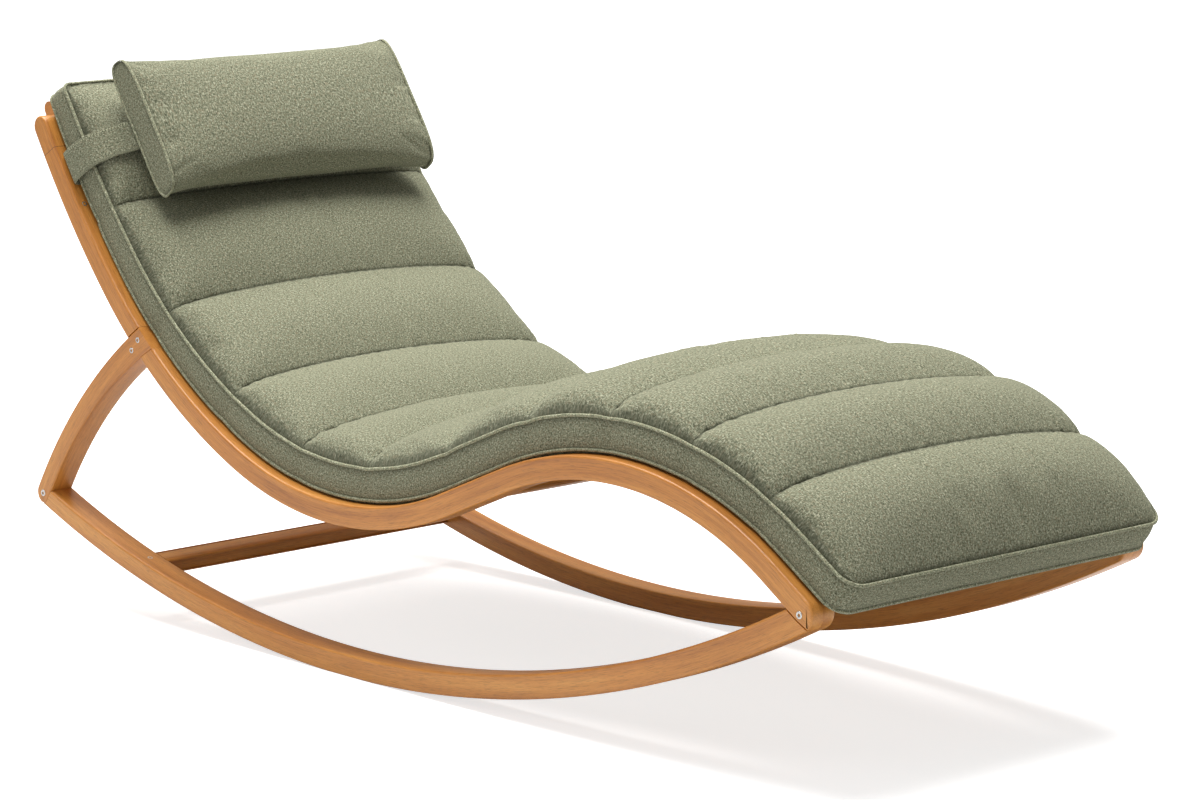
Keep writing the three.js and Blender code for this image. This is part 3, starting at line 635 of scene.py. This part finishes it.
short_place = on_seat(back_rail_place, -upper_screw_depth)
long_place = on_seat(back_rail_place, -lower_screw_depth)
slat_place, slat_up = on_seat(slat_first, 0.0), upright(heading_at(slat_first))
runner_top = on_rocker(stretcher_angle, rocker_depth(stretcher_angle))
runner_up, runner_screw_y = upright(stretcher_angle), half_width - half_lap
for hand, side in sides.items():
    outer, inner = side * half_width, side * inner_face
    out, into = (0, side, 0), (0, -side, 0)
    for name, node, kind, place, y, way in (
        ("foot_through_bolt", "foot_bolt", bolt, foot_bolt, outer, out),
        ("foot_sleeve_nut", "foot_nut", sleeve_nut, foot_bolt, inner, into),
        ("rear_through_bolt", "rear_bolt", bolt, rear_bolt, outer, out),
        ("rear_sleeve_nut", "rear_nut", sleeve_nut, rear_bolt, inner, into),
        ("upper_strut_screw", "strut_screw_upper", short_screw, short_place, outer, out),
        ("lower_strut_screw", "strut_screw_lower", long_screw, long_place, outer, out),
        ("rail_screw", "slat_screw", top_screw, slat_place, side * slat_screw_y, slat_up),
        ("runner_screw", "stretcher_screw", top_screw, runner_top, side * runner_screw_y, runner_up),
    ):
        add_fastener(f"{name}_{hand}", f"{node}_{hand}", kind, place, y, way)

# The cushion
# A long pad of fibre in a woven cover, sewn across into eleven channels. A strip of the same
# cloth, the boxing, runs round its edge between two piped seams, and it lies on the slats.
cushion_from, cushion_to = -0.021, bolt_place + 0.034
cushion_half, head_corner, foot_corner = 0.292, 0.010, 0.027
crown_shoulder, channel_shoulder = 0.150, 0.032
boxing_height, boxing_bulge = 0.050, 0.003
crown_arch, crown_arch_under_pillow, channel_puff = 0.042, 0.026, 0.018
cushion_clearance, strap_clearance, strap_zone_end = 0.0005, 0.0026, 0.191
hem_round, seam_dip, seam_draw = 0.004, 0.0015, 0.0012
unevenness, pucker_depth = 0.0010, 0.0011
channel_shares = np.array([
    0.1125, 0.1072, 0.1018, 0.0954, 0.0842, 0.0997, 0.0906, 0.0782, 0.0734, 0.0723, 0.0847])
seams = cushion_from + np.concatenate([[0.0], np.cumsum(channel_shares)]) * (cushion_to - cushion_from)
rows_per_channel = 30
column_count = 121
cushion_growth, cushion_swell = 0.012, 0.010
cloth_pressure, cloth_bending, simulated_steps = 4.0, 0.2, 20
flat_share = 0.8
pillow_rear, pillow_foot = 0.0913, 0.197


def quarter_round(share):
    """Rises from 0 like the first quarter of a circle and stays at 1."""
    return np.sqrt(1 - (1 - np.clip(share, 0, 1)) ** 2)


def channel_share(place):
    """How far a channel has risen, 0 on each seam: between a half circle and a parabola."""
    which = np.clip(np.searchsorted(seams, place, side="right") - 1, 0, len(channel_shares) - 1)
    share = np.clip((place - seams[which]) / np.diff(seams)[which], 0, 1)
    parabola = 4 * share * (1 - share)
    return 0.6 * np.sqrt(parabola) + 0.4 * parabola


def arch_at(place):
    """The seams' rise in the middle: low under the pillow, full from the second seam, 0 at the ends."""
    share = np.clip((place - seams[1]) / (seams[2] - seams[1]), 0, 1)
    rise = share ** 2 * (3 - 2 * share)
    full = crown_arch_under_pillow + (crown_arch - crown_arch_under_pillow) * rise
    inset = np.minimum(place - cushion_from, cushion_to - place)
    return full * (1 - (1 - np.clip(inset / crown_shoulder, 0, 1)) ** 2)


def near_seam(place, width):
    """1 on a sewn seam and falling off as a bell within a width on both sides."""
    off = np.min(np.abs(np.asarray(place)[..., None] - seams[1:-1]), -1)
    return np.exp(-(off / width) ** 2)


def edge_height(place):
    """The upper piped edge: lower at the head end and drawn down a little at each seam."""
    head_drop = 0.004 * np.exp(-(place - cushion_from) / 0.03)
    return boxing_height - head_drop - seam_dip * near_seam(place, 0.014)


def half_at(place):
    """Half the cushion's width: rounded off at its four corners and drawn in at each seam."""
    head = head_corner * (1 - quarter_round((place - cushion_from) / head_corner))
    foot = foot_corner * (1 - quarter_round((cushion_to - place) / foot_corner))
    return cushion_half - np.maximum(head, foot) - seam_draw * near_seam(place, 0.012)


def waves(count, longest, shortest, seed):
    """A smooth unevenness along a length: a sum of sines of random lengths and starts."""
    draw = np.random.default_rng(seed)
    pace = 2 * np.pi / np.exp(draw.uniform(np.log(shortest), np.log(longest), count))
    starts = draw.uniform(0, 2 * np.pi, count)
    return lambda x: np.sin(np.asarray(x)[..., None] * pace + starts).sum(-1) / np.sqrt(count)


def ditch_shade_at(distance, width):
    """How much painted shade a point gets in the ditch beside a seam or piping: a bell of its distance.
    """
    return np.exp(-(distance / width) ** 2)


def add_grids(name, grids, body, material, ditch_shade=None):
    """One welded piece of cloth from several grids of points.

    Each grid comes with its cloth coordinates, whether it wraps round and whether its faces are
    turned over. The ditch shade says how much painted shade each point gets, most in the ditch beside a
    seam or piping.
    """
    points, faces, corner_uv, start = [], [], [], 0
    for grid, uv, wrap, flip in grids:
        rows, columns = grid.shape[:2]
        quads = grid_faces(rows, columns, wrap)
        quads = quads[:, ::-1] if flip else quads
        corner_uv.append(uv.reshape(-1, 2)[quads])
        points.append(grid.reshape(-1, 3))
        faces.append(quads + start)
        start += rows * columns
    points, faces, corner_uv = map(np.concatenate, (points, faces, corner_uv))
    piece = new_piece(name, points, faces, body, corner_uv, smooth_below=60)
    piece.data.materials.append(material)
    # the points' share of painted shade, which the cloth material reads
    if ditch_shade is not None:
        attribute = piece.data.attributes.new("ditch_shade", "FLOAT", "POINT")
        attribute.data.foreach_set("value", ditch_shade.astype(np.float32))
    weld(piece, 2e-5)
    return piece


def kept_within(grid, lowest, highest):
    """A grid with each point's height over the seat line kept between two limits."""
    place, height = place_on_seat(grid[..., 0], grid[..., 2])
    return laid_on_seat(place, grid[..., 1], np.clip(height, lowest, highest))


def stuffed(grid, sewn, growth, furthest, wrap=False, flip=False):
    """A grid of cloth after the fibre behind it has pushed it out, by a cloth simulation.

    Sewn points stay where they are. The cloth is cut longer than the grid by the share growth, so
    it bulges and puckers between its seams, but no point moves further than furthest. The fibre
    pushes the way the faces look, which flip turns over.
    """
    quads = grid_faces(*grid.shape[:2], wrap)
    helper = add_mesh("slack_cloth", grid.reshape(-1, 3), (quads[:, ::-1] if flip else quads).tolist())
    held = helper.vertex_groups.new(name="sewn")
    held.add(np.flatnonzero(sewn).tolist(), 1.0, "REPLACE")
    settings = helper.modifiers.new("cloth", "CLOTH").settings
    settings.vertex_group_mass = held.name
    settings.effector_weights.gravity = 0
    settings.use_pressure = True
    settings.uniform_pressure_force = cloth_pressure
    settings.shrink_min = settings.shrink_max = -growth
    settings.bending_stiffness = cloth_bending
    settings.quality = 6
    for step in range(1, simulated_steps + 1):
        scene.frame_set(step)
    moved = points_of(with_modifiers(helper)).reshape(grid.shape)
    scene.frame_set(1)
    bpy.data.objects.remove(helper)
    way = moved - grid
    length = np.maximum(np.linalg.norm(way, axis=-1, keepdims=True), 1e-9)
    return grid + way * np.minimum(1, furthest / length)


# rows across the cushion, closer together towards each seam: s = (1 - cos a) / 2
row_share = (1 - np.cos(np.linspace(0, np.pi, rows_per_channel, endpoint=False))) / 2
places = np.append((seams[:-1, None] + row_share * np.diff(seams)[:, None]).ravel(), seams[-1])
even_shares = np.linspace(-1, 1, column_count)
shares = 0.6 * even_shares + 0.4 * np.sin(even_shares * np.pi / 2)
row_place, column_share = np.meshgrid(places, shares, indexing="ij")
sideways = column_share * half_at(row_place)
to_edge = quarter_round((1 - np.abs(column_share)) * cushion_half / channel_shoulder)
arch = arch_at(row_place) * np.sqrt(1 - column_share ** 2)
crown = arch + flat_share * channel_puff * channel_share(row_place) * to_edge
uneven = 0.5 * waves(5, 0.9, 0.25, 3)(sideways + 3 * row_place)
uneven = uneven + 0.3 * waves(5, 0.5, 0.15, 4)(sideways * 0.7 - 2 * row_place)
crown = crown + unevenness * uneven * channel_share(row_place) * to_edge

# the seams' stitches draw the cloth into small puckers that die out up the channel's slope
pucker_waves = waves(7, 0.050, 0.011, 5)
off_seam = np.min(np.abs(row_place[..., None] - seams[1:-1]), -1)
seam_side = np.sum(row_place[..., None] > seams, -1)
pucker = np.exp(-off_seam / 0.016) * (1 - np.exp(-off_seam / 0.003))
pucker = pucker * (0.5 + 2.2 * np.abs(column_share) ** 6)
crown = crown + pucker_depth * pucker * pucker_waves(sideways + 1.7 * seam_side) * to_edge
top = laid_on_seat(row_place, sideways, edge_height(row_place) + crown)
on_seam = np.isin(row_place, seams)
on_rim = np.abs(column_share) == 1
top = stuffed(top, on_seam | on_rim, cushion_growth, cushion_swell, flip=True)
under_pillow = np.clip(row_place - pillow_foot, 0, None) + pillow_rear - joint_gap
top = kept_within(top, 0, under_pillow)
plan_uv = pairs(row_place, sideways)

underside = np.where(row_place < strap_zone_end, strap_clearance, cushion_clearance)
pad_half = np.abs(half_at(row_place)) - hem_round
bottom = laid_on_seat(row_place, column_share * pad_half, underside)


def rim_of(grid):
    """The closed run of a grid's border points: to the foot on the right, back on the left."""
    return np.concatenate([grid[:, 0], grid[-1, 1:], grid[-2::-1, -1], grid[0, -2:0:-1]])


def run_length(run):
    """How far each point of a run lies along it from its first point."""
    return np.concatenate([[0.0], np.cumsum(np.linalg.norm(np.diff(run, axis=0), axis=1))])


rim_place, rim_side = rim_of(row_place), rim_of(sideways)
rim_plan = pairs(rim_place, rim_side)
rim_out = outwards_of(rim_plan)
rim_length = run_length(rim_plan)
rim_low = np.where(rim_place < strap_zone_end, strap_clearance, cushion_clearance) + hem_round
rim_high = edge_height(rim_place)
boxing_rows = 14
boxing_share = np.linspace(0, 1, boxing_rows)[:, None]
creases = waves(9, 0.30, 0.045, 6)
swell = boxing_bulge * np.sin(np.pi * boxing_share) * (1 + 0.25 * creases(rim_length)[None])
swell = swell * (1 - 0.5 * near_seam(rim_place, 0.02)[None])
boxing_plan = rim_plan[None] + rim_out[None] * swell[..., None]
boxing_level = rim_low + (rim_high - rim_low) * boxing_share
boxing = laid_on_seat(boxing_plan[..., 0], boxing_plan[..., 1], boxing_level)
boxing_uv = pairs(rim_length, boxing_level + 1.3)
hem = np.stack([rim_of(bottom), boxing[0]])
hem_uv = np.stack([boxing_uv[0] - [0, hem_round], boxing_uv[0]])


def woven_cloth(name, stitched_rows=(), lightness=1.0):
    """Sage cloth of mixed light and dark yarns, with a soft sheen and painted shade in its ditches.

    u and v are metres along the cloth. Warp and weft are noise drawn out along v and along u, and a
    third noise says which of them lies on top. stitched_rows are the v of stitches along u, each row
    painted dark as the shade of its groove with lighter thread between. lightness brightens the whole
    cloth, a painted highlight on the piping cord's copy.
    """
    nodes = Nodes(bpy.data.materials.new(name))
    cloth = nodes.add("UVMap").outputs["UV"]
    warp = nodes.noise(cloth, (820.0, 190.0, 1.0), 2.0)
    weft = nodes.noise(cloth, (190.0, 820.0, 1.0), 2.0)
    on_top = nodes.noise(cloth, (600.0, 600.0, 1.0), 1.0)
    on_top = nodes.add("MapRange", {"Value": on_top, 1: 0.42, 2: 0.58}).outputs[0]
    yarns = nodes.add("Mix", {0: on_top, 2: warp, 3: weft}).outputs[0]
    slubs = nodes.noise(cloth, (430.0, 430.0, 1.0), 3.0, 0.65)
    specks = nodes.noise(cloth, (260.0, 260.0, 1.0), 2.0)
    mixed = nodes.maths("MULTIPLY_ADD", slubs, 0.5, nodes.maths("MULTIPLY", yarns, 0.5))
    colour = nodes.ramp(mixed, [
        (0.38, (0.046, 0.050, 0.030)),
        (0.46, (0.124, 0.130, 0.082)),
        (0.54, (0.230, 0.236, 0.156)),
        (0.62, (0.450, 0.448, 0.328)),
    ])
    tan_share = nodes.add("MapRange", {"Value": specks, 1: 0.50, 2: 0.72, 3: 0.0, 4: 0.42}).outputs[0]
    colour = nodes.mix(tan_share, colour, (0.275, 0.210, 0.128))
    # lightness above 1 is a painted highlight: the piping cord's copy is lighter all over, as where
    # light catches it
    colour = nodes.mix(1.0, colour, (lightness,) * 3, "MULTIPLY")
    # painted shade: the cloth darkens towards a near-black green in the ditches beside seams and piping
    ditch_shade = nodes.add("Attribute", attribute_name="ditch_shade").outputs["Fac"]
    colour = nodes.mix(nodes.maths("MULTIPLY", ditch_shade, 0.7), colour, (0.030, 0.032, 0.019))
    directions = nodes.add("SeparateXYZ", {"Vector": cloth})
    for row in stitched_rows:
        off_row = nodes.maths("ABSOLUTE", nodes.maths("SUBTRACT", directions.outputs["Y"], row))
        in_row = nodes.maths("LESS_THAN", off_row, stitch_width / 2)
        step = nodes.maths("FRACT", nodes.maths("MULTIPLY", directions.outputs["X"], 1 / stitch_pitch))
        stitch = nodes.maths("MULTIPLY", in_row, nodes.maths("LESS_THAN", step, 0.65))
        # painted shade: each stitched row is darkened as the shade of its groove, with lighter thread
        # dashes over it
        colour = nodes.mix(in_row, colour, (0.055, 0.058, 0.035))
        colour = nodes.mix(stitch, colour, (0.42, 0.42, 0.28))
    roughness = nodes.maths("MULTIPLY_ADD", slubs, 0.1, 0.85)
    height = nodes.maths("ADD", yarns, slubs)
    fuzz = {"Sheen Weight": 0.2, "Sheen Roughness": 0.5, "Sheen Tint": (0.62, 0.64, 0.46, 1.0)}
    return nodes.finish(colour, roughness, height, 0.0006, {**fuzz, "Specular IOR Level": 0.2})


cloth = woven_cloth("sage_cloth")
# Painted shade: the cloth darkens within a bell of each seam and of the piped rim on the top and
# boxing,
# and the hem strip under the lower piping is darkened all over as shade.
seam_shade_width, piping_shade_width = 0.0022, 0.0045
end_off = np.minimum(row_place - cushion_from, cushion_to - row_place)
rim_off = np.minimum(half_at(row_place) - np.abs(sideways), end_off)
top_shade = np.maximum(ditch_shade_at(off_seam, seam_shade_width), ditch_shade_at(rim_off, piping_shade_width))
boxing_off = np.minimum(rim_high - boxing_level, boxing_level - rim_low)
cushion = add_grids("channelled_cushion", [
    (top, plan_uv, False, True),
    (bottom, plan_uv, False, False),
    (boxing, boxing_uv, True, False),
    (hem, hem_uv, True, False),
], "frame", cloth, np.concatenate([
    top_shade.ravel(), np.zeros(top_shade.size), ditch_shade_at(boxing_off, piping_shade_width).ravel(),
    np.ones(2 * len(rim_plan))]))
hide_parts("cushion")



def piping(name, run, out, up, body):
    """A corded edge: a circle between out and up carried along a closed run.

    Its faces are turned over where out, up and the run are right-handed, so they look outwards.
    """
    turn = np.linspace(0, 2 * np.pi, 13)[:-1]
    circle = np.cos(turn)[:, None, None] * out[None] + np.sin(turn)[:, None, None] * up[None]
    grid = run[None] + piping_radius * circle
    uv = pairs(run_length(run)[None], piping_radius * turn[:, None])
    closing_uv = uv[:1] + [0, 2 * np.pi * piping_radius]
    grid, uv = np.concatenate([grid, grid[:1]]), np.concatenate([uv, closing_uv])
    right_handed = np.sum(np.cross(out, up) * (np.roll(run, -1, axis=0) - run)) > 0
    add_grids(name, [(grid, uv, True, right_handed)], body, highlit_cord_cloth)


piping_radius, probe = 0.0023, 0.01
# The cord's copy of the cloth is 35 percent lighter: a painted highlight for the light that catches the
# piping.
highlit_cord_cloth = woven_cloth("sage_cloth_cord_highlit", lightness=1.35)
for edge_name, level, push in (("upper", rim_high, 0.0013), ("lower", rim_low + 0.0010, 0.0008)):
    plan = rim_plan + rim_out * push
    run = laid_on_seat(plan[:, 0], plan[:, 1], level)
    outer_plan = plan + rim_out * probe
    outer_run = laid_on_seat(outer_plan[:, 0], outer_plan[:, 1], level)
    upper_run = laid_on_seat(plan[:, 0], plan[:, 1], level + probe)
    out, up = (outer_run - run) / probe, (upper_run - run) / probe
    piping(f"cushion_piping_{edge_name}", run, out, up, "frame")

# The pillow
# A small bolster of fibre in the same cloth, boxy at its two piped end panels and plumper in the
# middle. It leans on the cushion's first channels and hangs over the back on its strap.
pillow_place, pillow_width, pillow_length = 0.100, 0.490, 0.234
pillow_end_thickness, pillow_height = 0.056, 0.122
front_swell = 0.016
rear_swell = pillow_height - pillow_end_thickness / 2 - pillow_rear
end_power, middle_power, swell_power = 3.0, 2.1, 3.5
rear_hollow = 0.013


def signed_power(value, power):
    return np.sign(value) * np.abs(value) ** power


def on_pillow(along, sideways, up):
    """Points of the pillow from its middle: along the seat, which bends it, sideways and up."""
    return laid_on_seat(pillow_place + along, sideways, pillow_height + up)


def pillow_section(y, angle):
    """The pillow's outline at y: a rounded box at its ends that turns fuller in the middle.

    The rear edge of the end panels stays straight while the back bends away under it.
    """
    swell = 1 - np.abs(2 * y / pillow_width) ** swell_power
    power = 2 / (end_power + (middle_power - end_power) * swell)
    up_swell = np.where(np.sin(angle) > 0, front_swell, rear_swell)
    thick = pillow_end_thickness / 2 + swell * up_swell
    along = pillow_length / 2 * signed_power(np.cos(angle), power)
    hollow = rear_hollow * (1 - swell) * (1 - (2 * along / pillow_length) ** 2) * (np.sin(angle) < 0)
    return along, thick * signed_power(np.sin(angle), power) + hollow


pillow_growth, pillow_swell = 0.012, 0.006
pillow_rows, pillow_columns = 91, 128
row_y = pillow_width / 2 * np.sin(np.linspace(-np.pi / 2, np.pi / 2, pillow_rows))[:, None]
around = -np.linspace(0, 2 * np.pi, pillow_columns, endpoint=False)[None]
along, up = pillow_section(row_y, around)
row_y = np.broadcast_to(row_y, along.shape)
end_off = pillow_width / 2 - np.abs(row_y)
end_puckers = waves(8, 0.06, 0.014, 8)
round_run = np.broadcast_to(-around * pillow_length / np.pi, along.shape)
draw = 0.0012 * np.exp(-end_off / 0.02) * (1 - np.exp(-end_off / 0.004)) * end_puckers(round_run)
slack = 0.0005 * waves(5, 0.3, 0.1, 9)(row_y + 0.5 * round_run) * (1 - np.exp(-end_off / 0.05))
fuller = 1 + (draw + slack) / np.hypot(along, up)
along, up = along * fuller, up * fuller
body_grid = on_pillow(along, row_y, up)
strap_place, strap_width, strap_thickness = 0.096, 0.050, 0.002
strap_seam_inset, strap_stand_off = 0.009, 0.0125
on_strap = (end_off < strap_seam_inset + 0.004) & (up < 0)
on_strap &= np.abs(pillow_place + along - strap_place) < strap_width / 2 + 0.004
body_grid = stuffed(body_grid, (end_off < 0.001) | on_strap, pillow_growth, pillow_swell, wrap=True)
body_grid = kept_within(body_grid, pillow_rear, np.inf)
body_uv = pairs(row_y + 3.0, round_run)

ring_share = 1 - np.linspace(0, 1, 18)[:, None] ** 2
end_dome = 0.0015
pillow_grids = [(body_grid, body_uv, True, False)]
# painted shade beside the end panels' piping, on the body and on the panels
pillow_shade = [ditch_shade_at(end_off, piping_shade_width).ravel()]
for side, row in ((-1, 0), (1, -1)):
    ring_along, ring_up = along[row] * ring_share, up[row] * ring_share
    ring_y = side * (pillow_width / 2 + end_dome * (1 - ring_share ** 2))
    ring_y = np.broadcast_to(ring_y, ring_along.shape)
    grid = on_pillow(ring_along, ring_y, ring_up)
    pillow_grids.append((grid, pairs(ring_along, ring_up + 5.0), True, side < 0))
    rim_off = np.hypot(along[row] - ring_along, up[row] - ring_up)
    pillow_shade.append(ditch_shade_at(rim_off, piping_shade_width).ravel())
pillow = add_grids("head_pillow", pillow_grids, "headrest", cloth, np.concatenate(pillow_shade))
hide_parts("pillow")

for hand, side in sides.items():
    row = 0 if side < 0 else -1
    outline = pairs(along[row], up[row])
    out = outwards_of(outline)
    edge = outline + out * 0.0012
    level = np.full(len(edge), side * (pillow_width / 2 - 0.0005))
    run = on_pillow(edge[:, 0], level, edge[:, 1])
    out_run = on_pillow(edge[:, 0] + out[:, 0], level, edge[:, 1] + out[:, 1])
    sideways_out = np.broadcast_to([0.0, side, 0.0], run.shape)
    piping(f"pillow_piping_{hand}", run, out_run - run, sideways_out, "headrest")

# The strap
# One flat band of the same cloth, folded and stitched along both edges. It is sewn to the
# pillow's ends behind their piping, hangs past the boxing and runs on under the cushion.
strap_shares = np.array([
    [0, 1], [0.2, 0.993], [0.41, 0.938], [0.67, 0.82], [0.912, 0.62],
    [1, 0.342], [1, 0.119], [0.956, 0.03], [0.847, 0],
])
seam_y = pillow_width / 2 - strap_seam_inset
swell_there = 1 - (2 * seam_y / pillow_width) ** swell_power
behind_pillow = pillow_height - pillow_end_thickness / 2 - swell_there * rear_swell
lowest = joint_gap + strap_thickness / 2
seam_height = behind_pillow - lowest
strap_out = seam_y + strap_shares[:, 0] * (cushion_half + strap_stand_off - seam_y)
strap_up = lowest + strap_shares[:, 1] * (seam_height - lowest)
strap_up[0] += rear_hollow * (1 - swell_there)


def smooth_run(points, steps):
    """A smooth line through points: cubics with the slope of each point's neighbours."""
    padded_run = np.concatenate([2 * points[:1] - points[1:2], points, 2 * points[-1:] - points[-2:-1]])
    slope = (padded_run[2:] - padded_run[:-2]) / 2
    t = np.linspace(0, 1, steps, endpoint=False)[None, :, None]
    start, end = points[:-1, None], points[1:, None]
    bend = (2 * t ** 3 - 3 * t ** 2 + 1) * start + (t ** 3 - 2 * t ** 2 + t) * slope[:-1, None]
    bend = bend + (3 * t ** 2 - 2 * t ** 3) * end + (t ** 3 - t ** 2) * slope[1:, None]
    return np.concatenate([bend.reshape(-1, points.shape[1]), points[-1:]])


half_run = smooth_run(pairs(strap_out, strap_up), 8)
strap_run = np.concatenate([half_run, (half_run * [-1, 1])[::-1]])
strap_along = np.gradient(strap_run, axis=0)
strap_along /= np.linalg.norm(strap_along, axis=1, keepdims=True)
strap_normal = pairs(-strap_along[:, 1], strap_along[:, 0])
flat_half, strap_half = strap_width / 2 - strap_thickness / 2, strap_thickness / 2
round_edge = arc([flat_half, 0], strap_half, np.pi / 2, -np.pi / 2, 7)
lower_face = pairs(np.linspace(flat_half, -flat_half, 15)[1:-1], -strap_half)
strap_section = np.concatenate([round_edge, lower_face, -round_edge, -lower_face])
strap_spots = strap_run[:, None] + strap_normal[:, None] * strap_section[None, :, 1:]
strap_places = np.broadcast_to(strap_place + strap_section[:, 0], strap_spots.shape[:2])
strap_grid = laid_on_seat(strap_places, strap_spots[..., 0], strap_spots[..., 1])
strap_v = 7.0
strap_uv = pairs(run_length(strap_run)[:, None], run_length(strap_section)[None] + strap_v)
strap_grids = [(strap_grid, strap_uv, True, False)]
for row, flip in (0, True), (-1, False):
    end_loop = strap_grid[row]
    closing = np.stack([end_loop, np.broadcast_to(end_loop.mean(0), end_loop.shape)])
    strap_grids.append((closing, np.stack([strap_uv[row]] * 2), True, flip))
stitch_inset, stitch_width, stitch_pitch = 0.003, 0.0011, 0.0045
face_length, edge_length = 2 * flat_half, np.pi * strap_thickness / 2
face_rows = strap_v + edge_length + np.array([stitch_inset, face_length - stitch_inset])
stitched = np.concatenate([face_rows, face_rows + face_length + edge_length])
strap_cloth = woven_cloth("sage_cloth_stitched", stitched)
strap = add_grids("pillow_hanging_strap", strap_grids, "headrest", strap_cloth)
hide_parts("pillow_strap")

# The studio
# A pale floor under one wide soft lamp from above and a weak one from the camera's side. Floor and
# backdrop glow only to the camera, so they look white and light nothing.
floor_tone = 0.65
floor_glow_near, floor_glow_far = 0.70, 0.95
glow_from, glow_to = 1.2, 4.0
daylight = 0.28
reach = 12.0
floor_corners = [(-reach, -reach, 0), (reach, -reach, 0), (reach, reach, 0), (-reach, reach, 0)]
studio_floor = add_mesh("studio_floor", floor_corners, [(0, 1, 2, 3)])
nodes = Nodes(bpy.data.materials.new("studio_floor"))
off_middle = nodes.add(
    "VectorMath", {0: nodes.add("TexCoord").outputs["Object"]}, operation="LENGTH").outputs["Value"]
glow = nodes.add("MapRange", {
    "Value": off_middle, 1: glow_from, 2: glow_to, 3: floor_glow_near, 4: floor_glow_far}).outputs[0]
to_camera = nodes.add("LightPath").outputs["Is Camera Ray"]
white = (1.0, 1.0, 1.0, 1.0)
nodes.feed(nodes.shader, {
    "Base Color": (floor_tone, floor_tone, floor_tone, 1.0),
    "Roughness": 0.9,
    "Specular IOR Level": 0.0,
    "Emission Color": white,
    "Emission Strength": nodes.maths("MULTIPLY", glow, to_camera),
})
studio_floor.data.materials.append(nodes.owner)

world = bpy.data.worlds.new("studio")
scene.world = world
sky = Nodes(world, "Background")
to_camera = sky.add("LightPath").outputs["Is Camera Ray"]
strength = sky.add("MapRange", {"Value": to_camera, 3: daylight, 4: 1.0}).outputs[0]
sky.feed(sky.shader, {"Color": white, "Strength": strength})


def soft_lamp(name, place, target, size, power):
    """A square area lamp that looks at a point."""
    lamp = bpy.data.lights.new(name, "AREA")
    lamp.size, lamp.energy = size, power
    aimed(name, lamp, place, Vector(target) - Vector(place))


soft_lamp("key_lamp", (-1.0, 0.3, 5.9), (0, 0, 0.3), 5.0, 770)
soft_lamp("fill_lamp", (0.1, -3.4, 1.8), (0, 0, 0.3), 2.4, 19)
scene.view_settings.view_transform = "Standard"
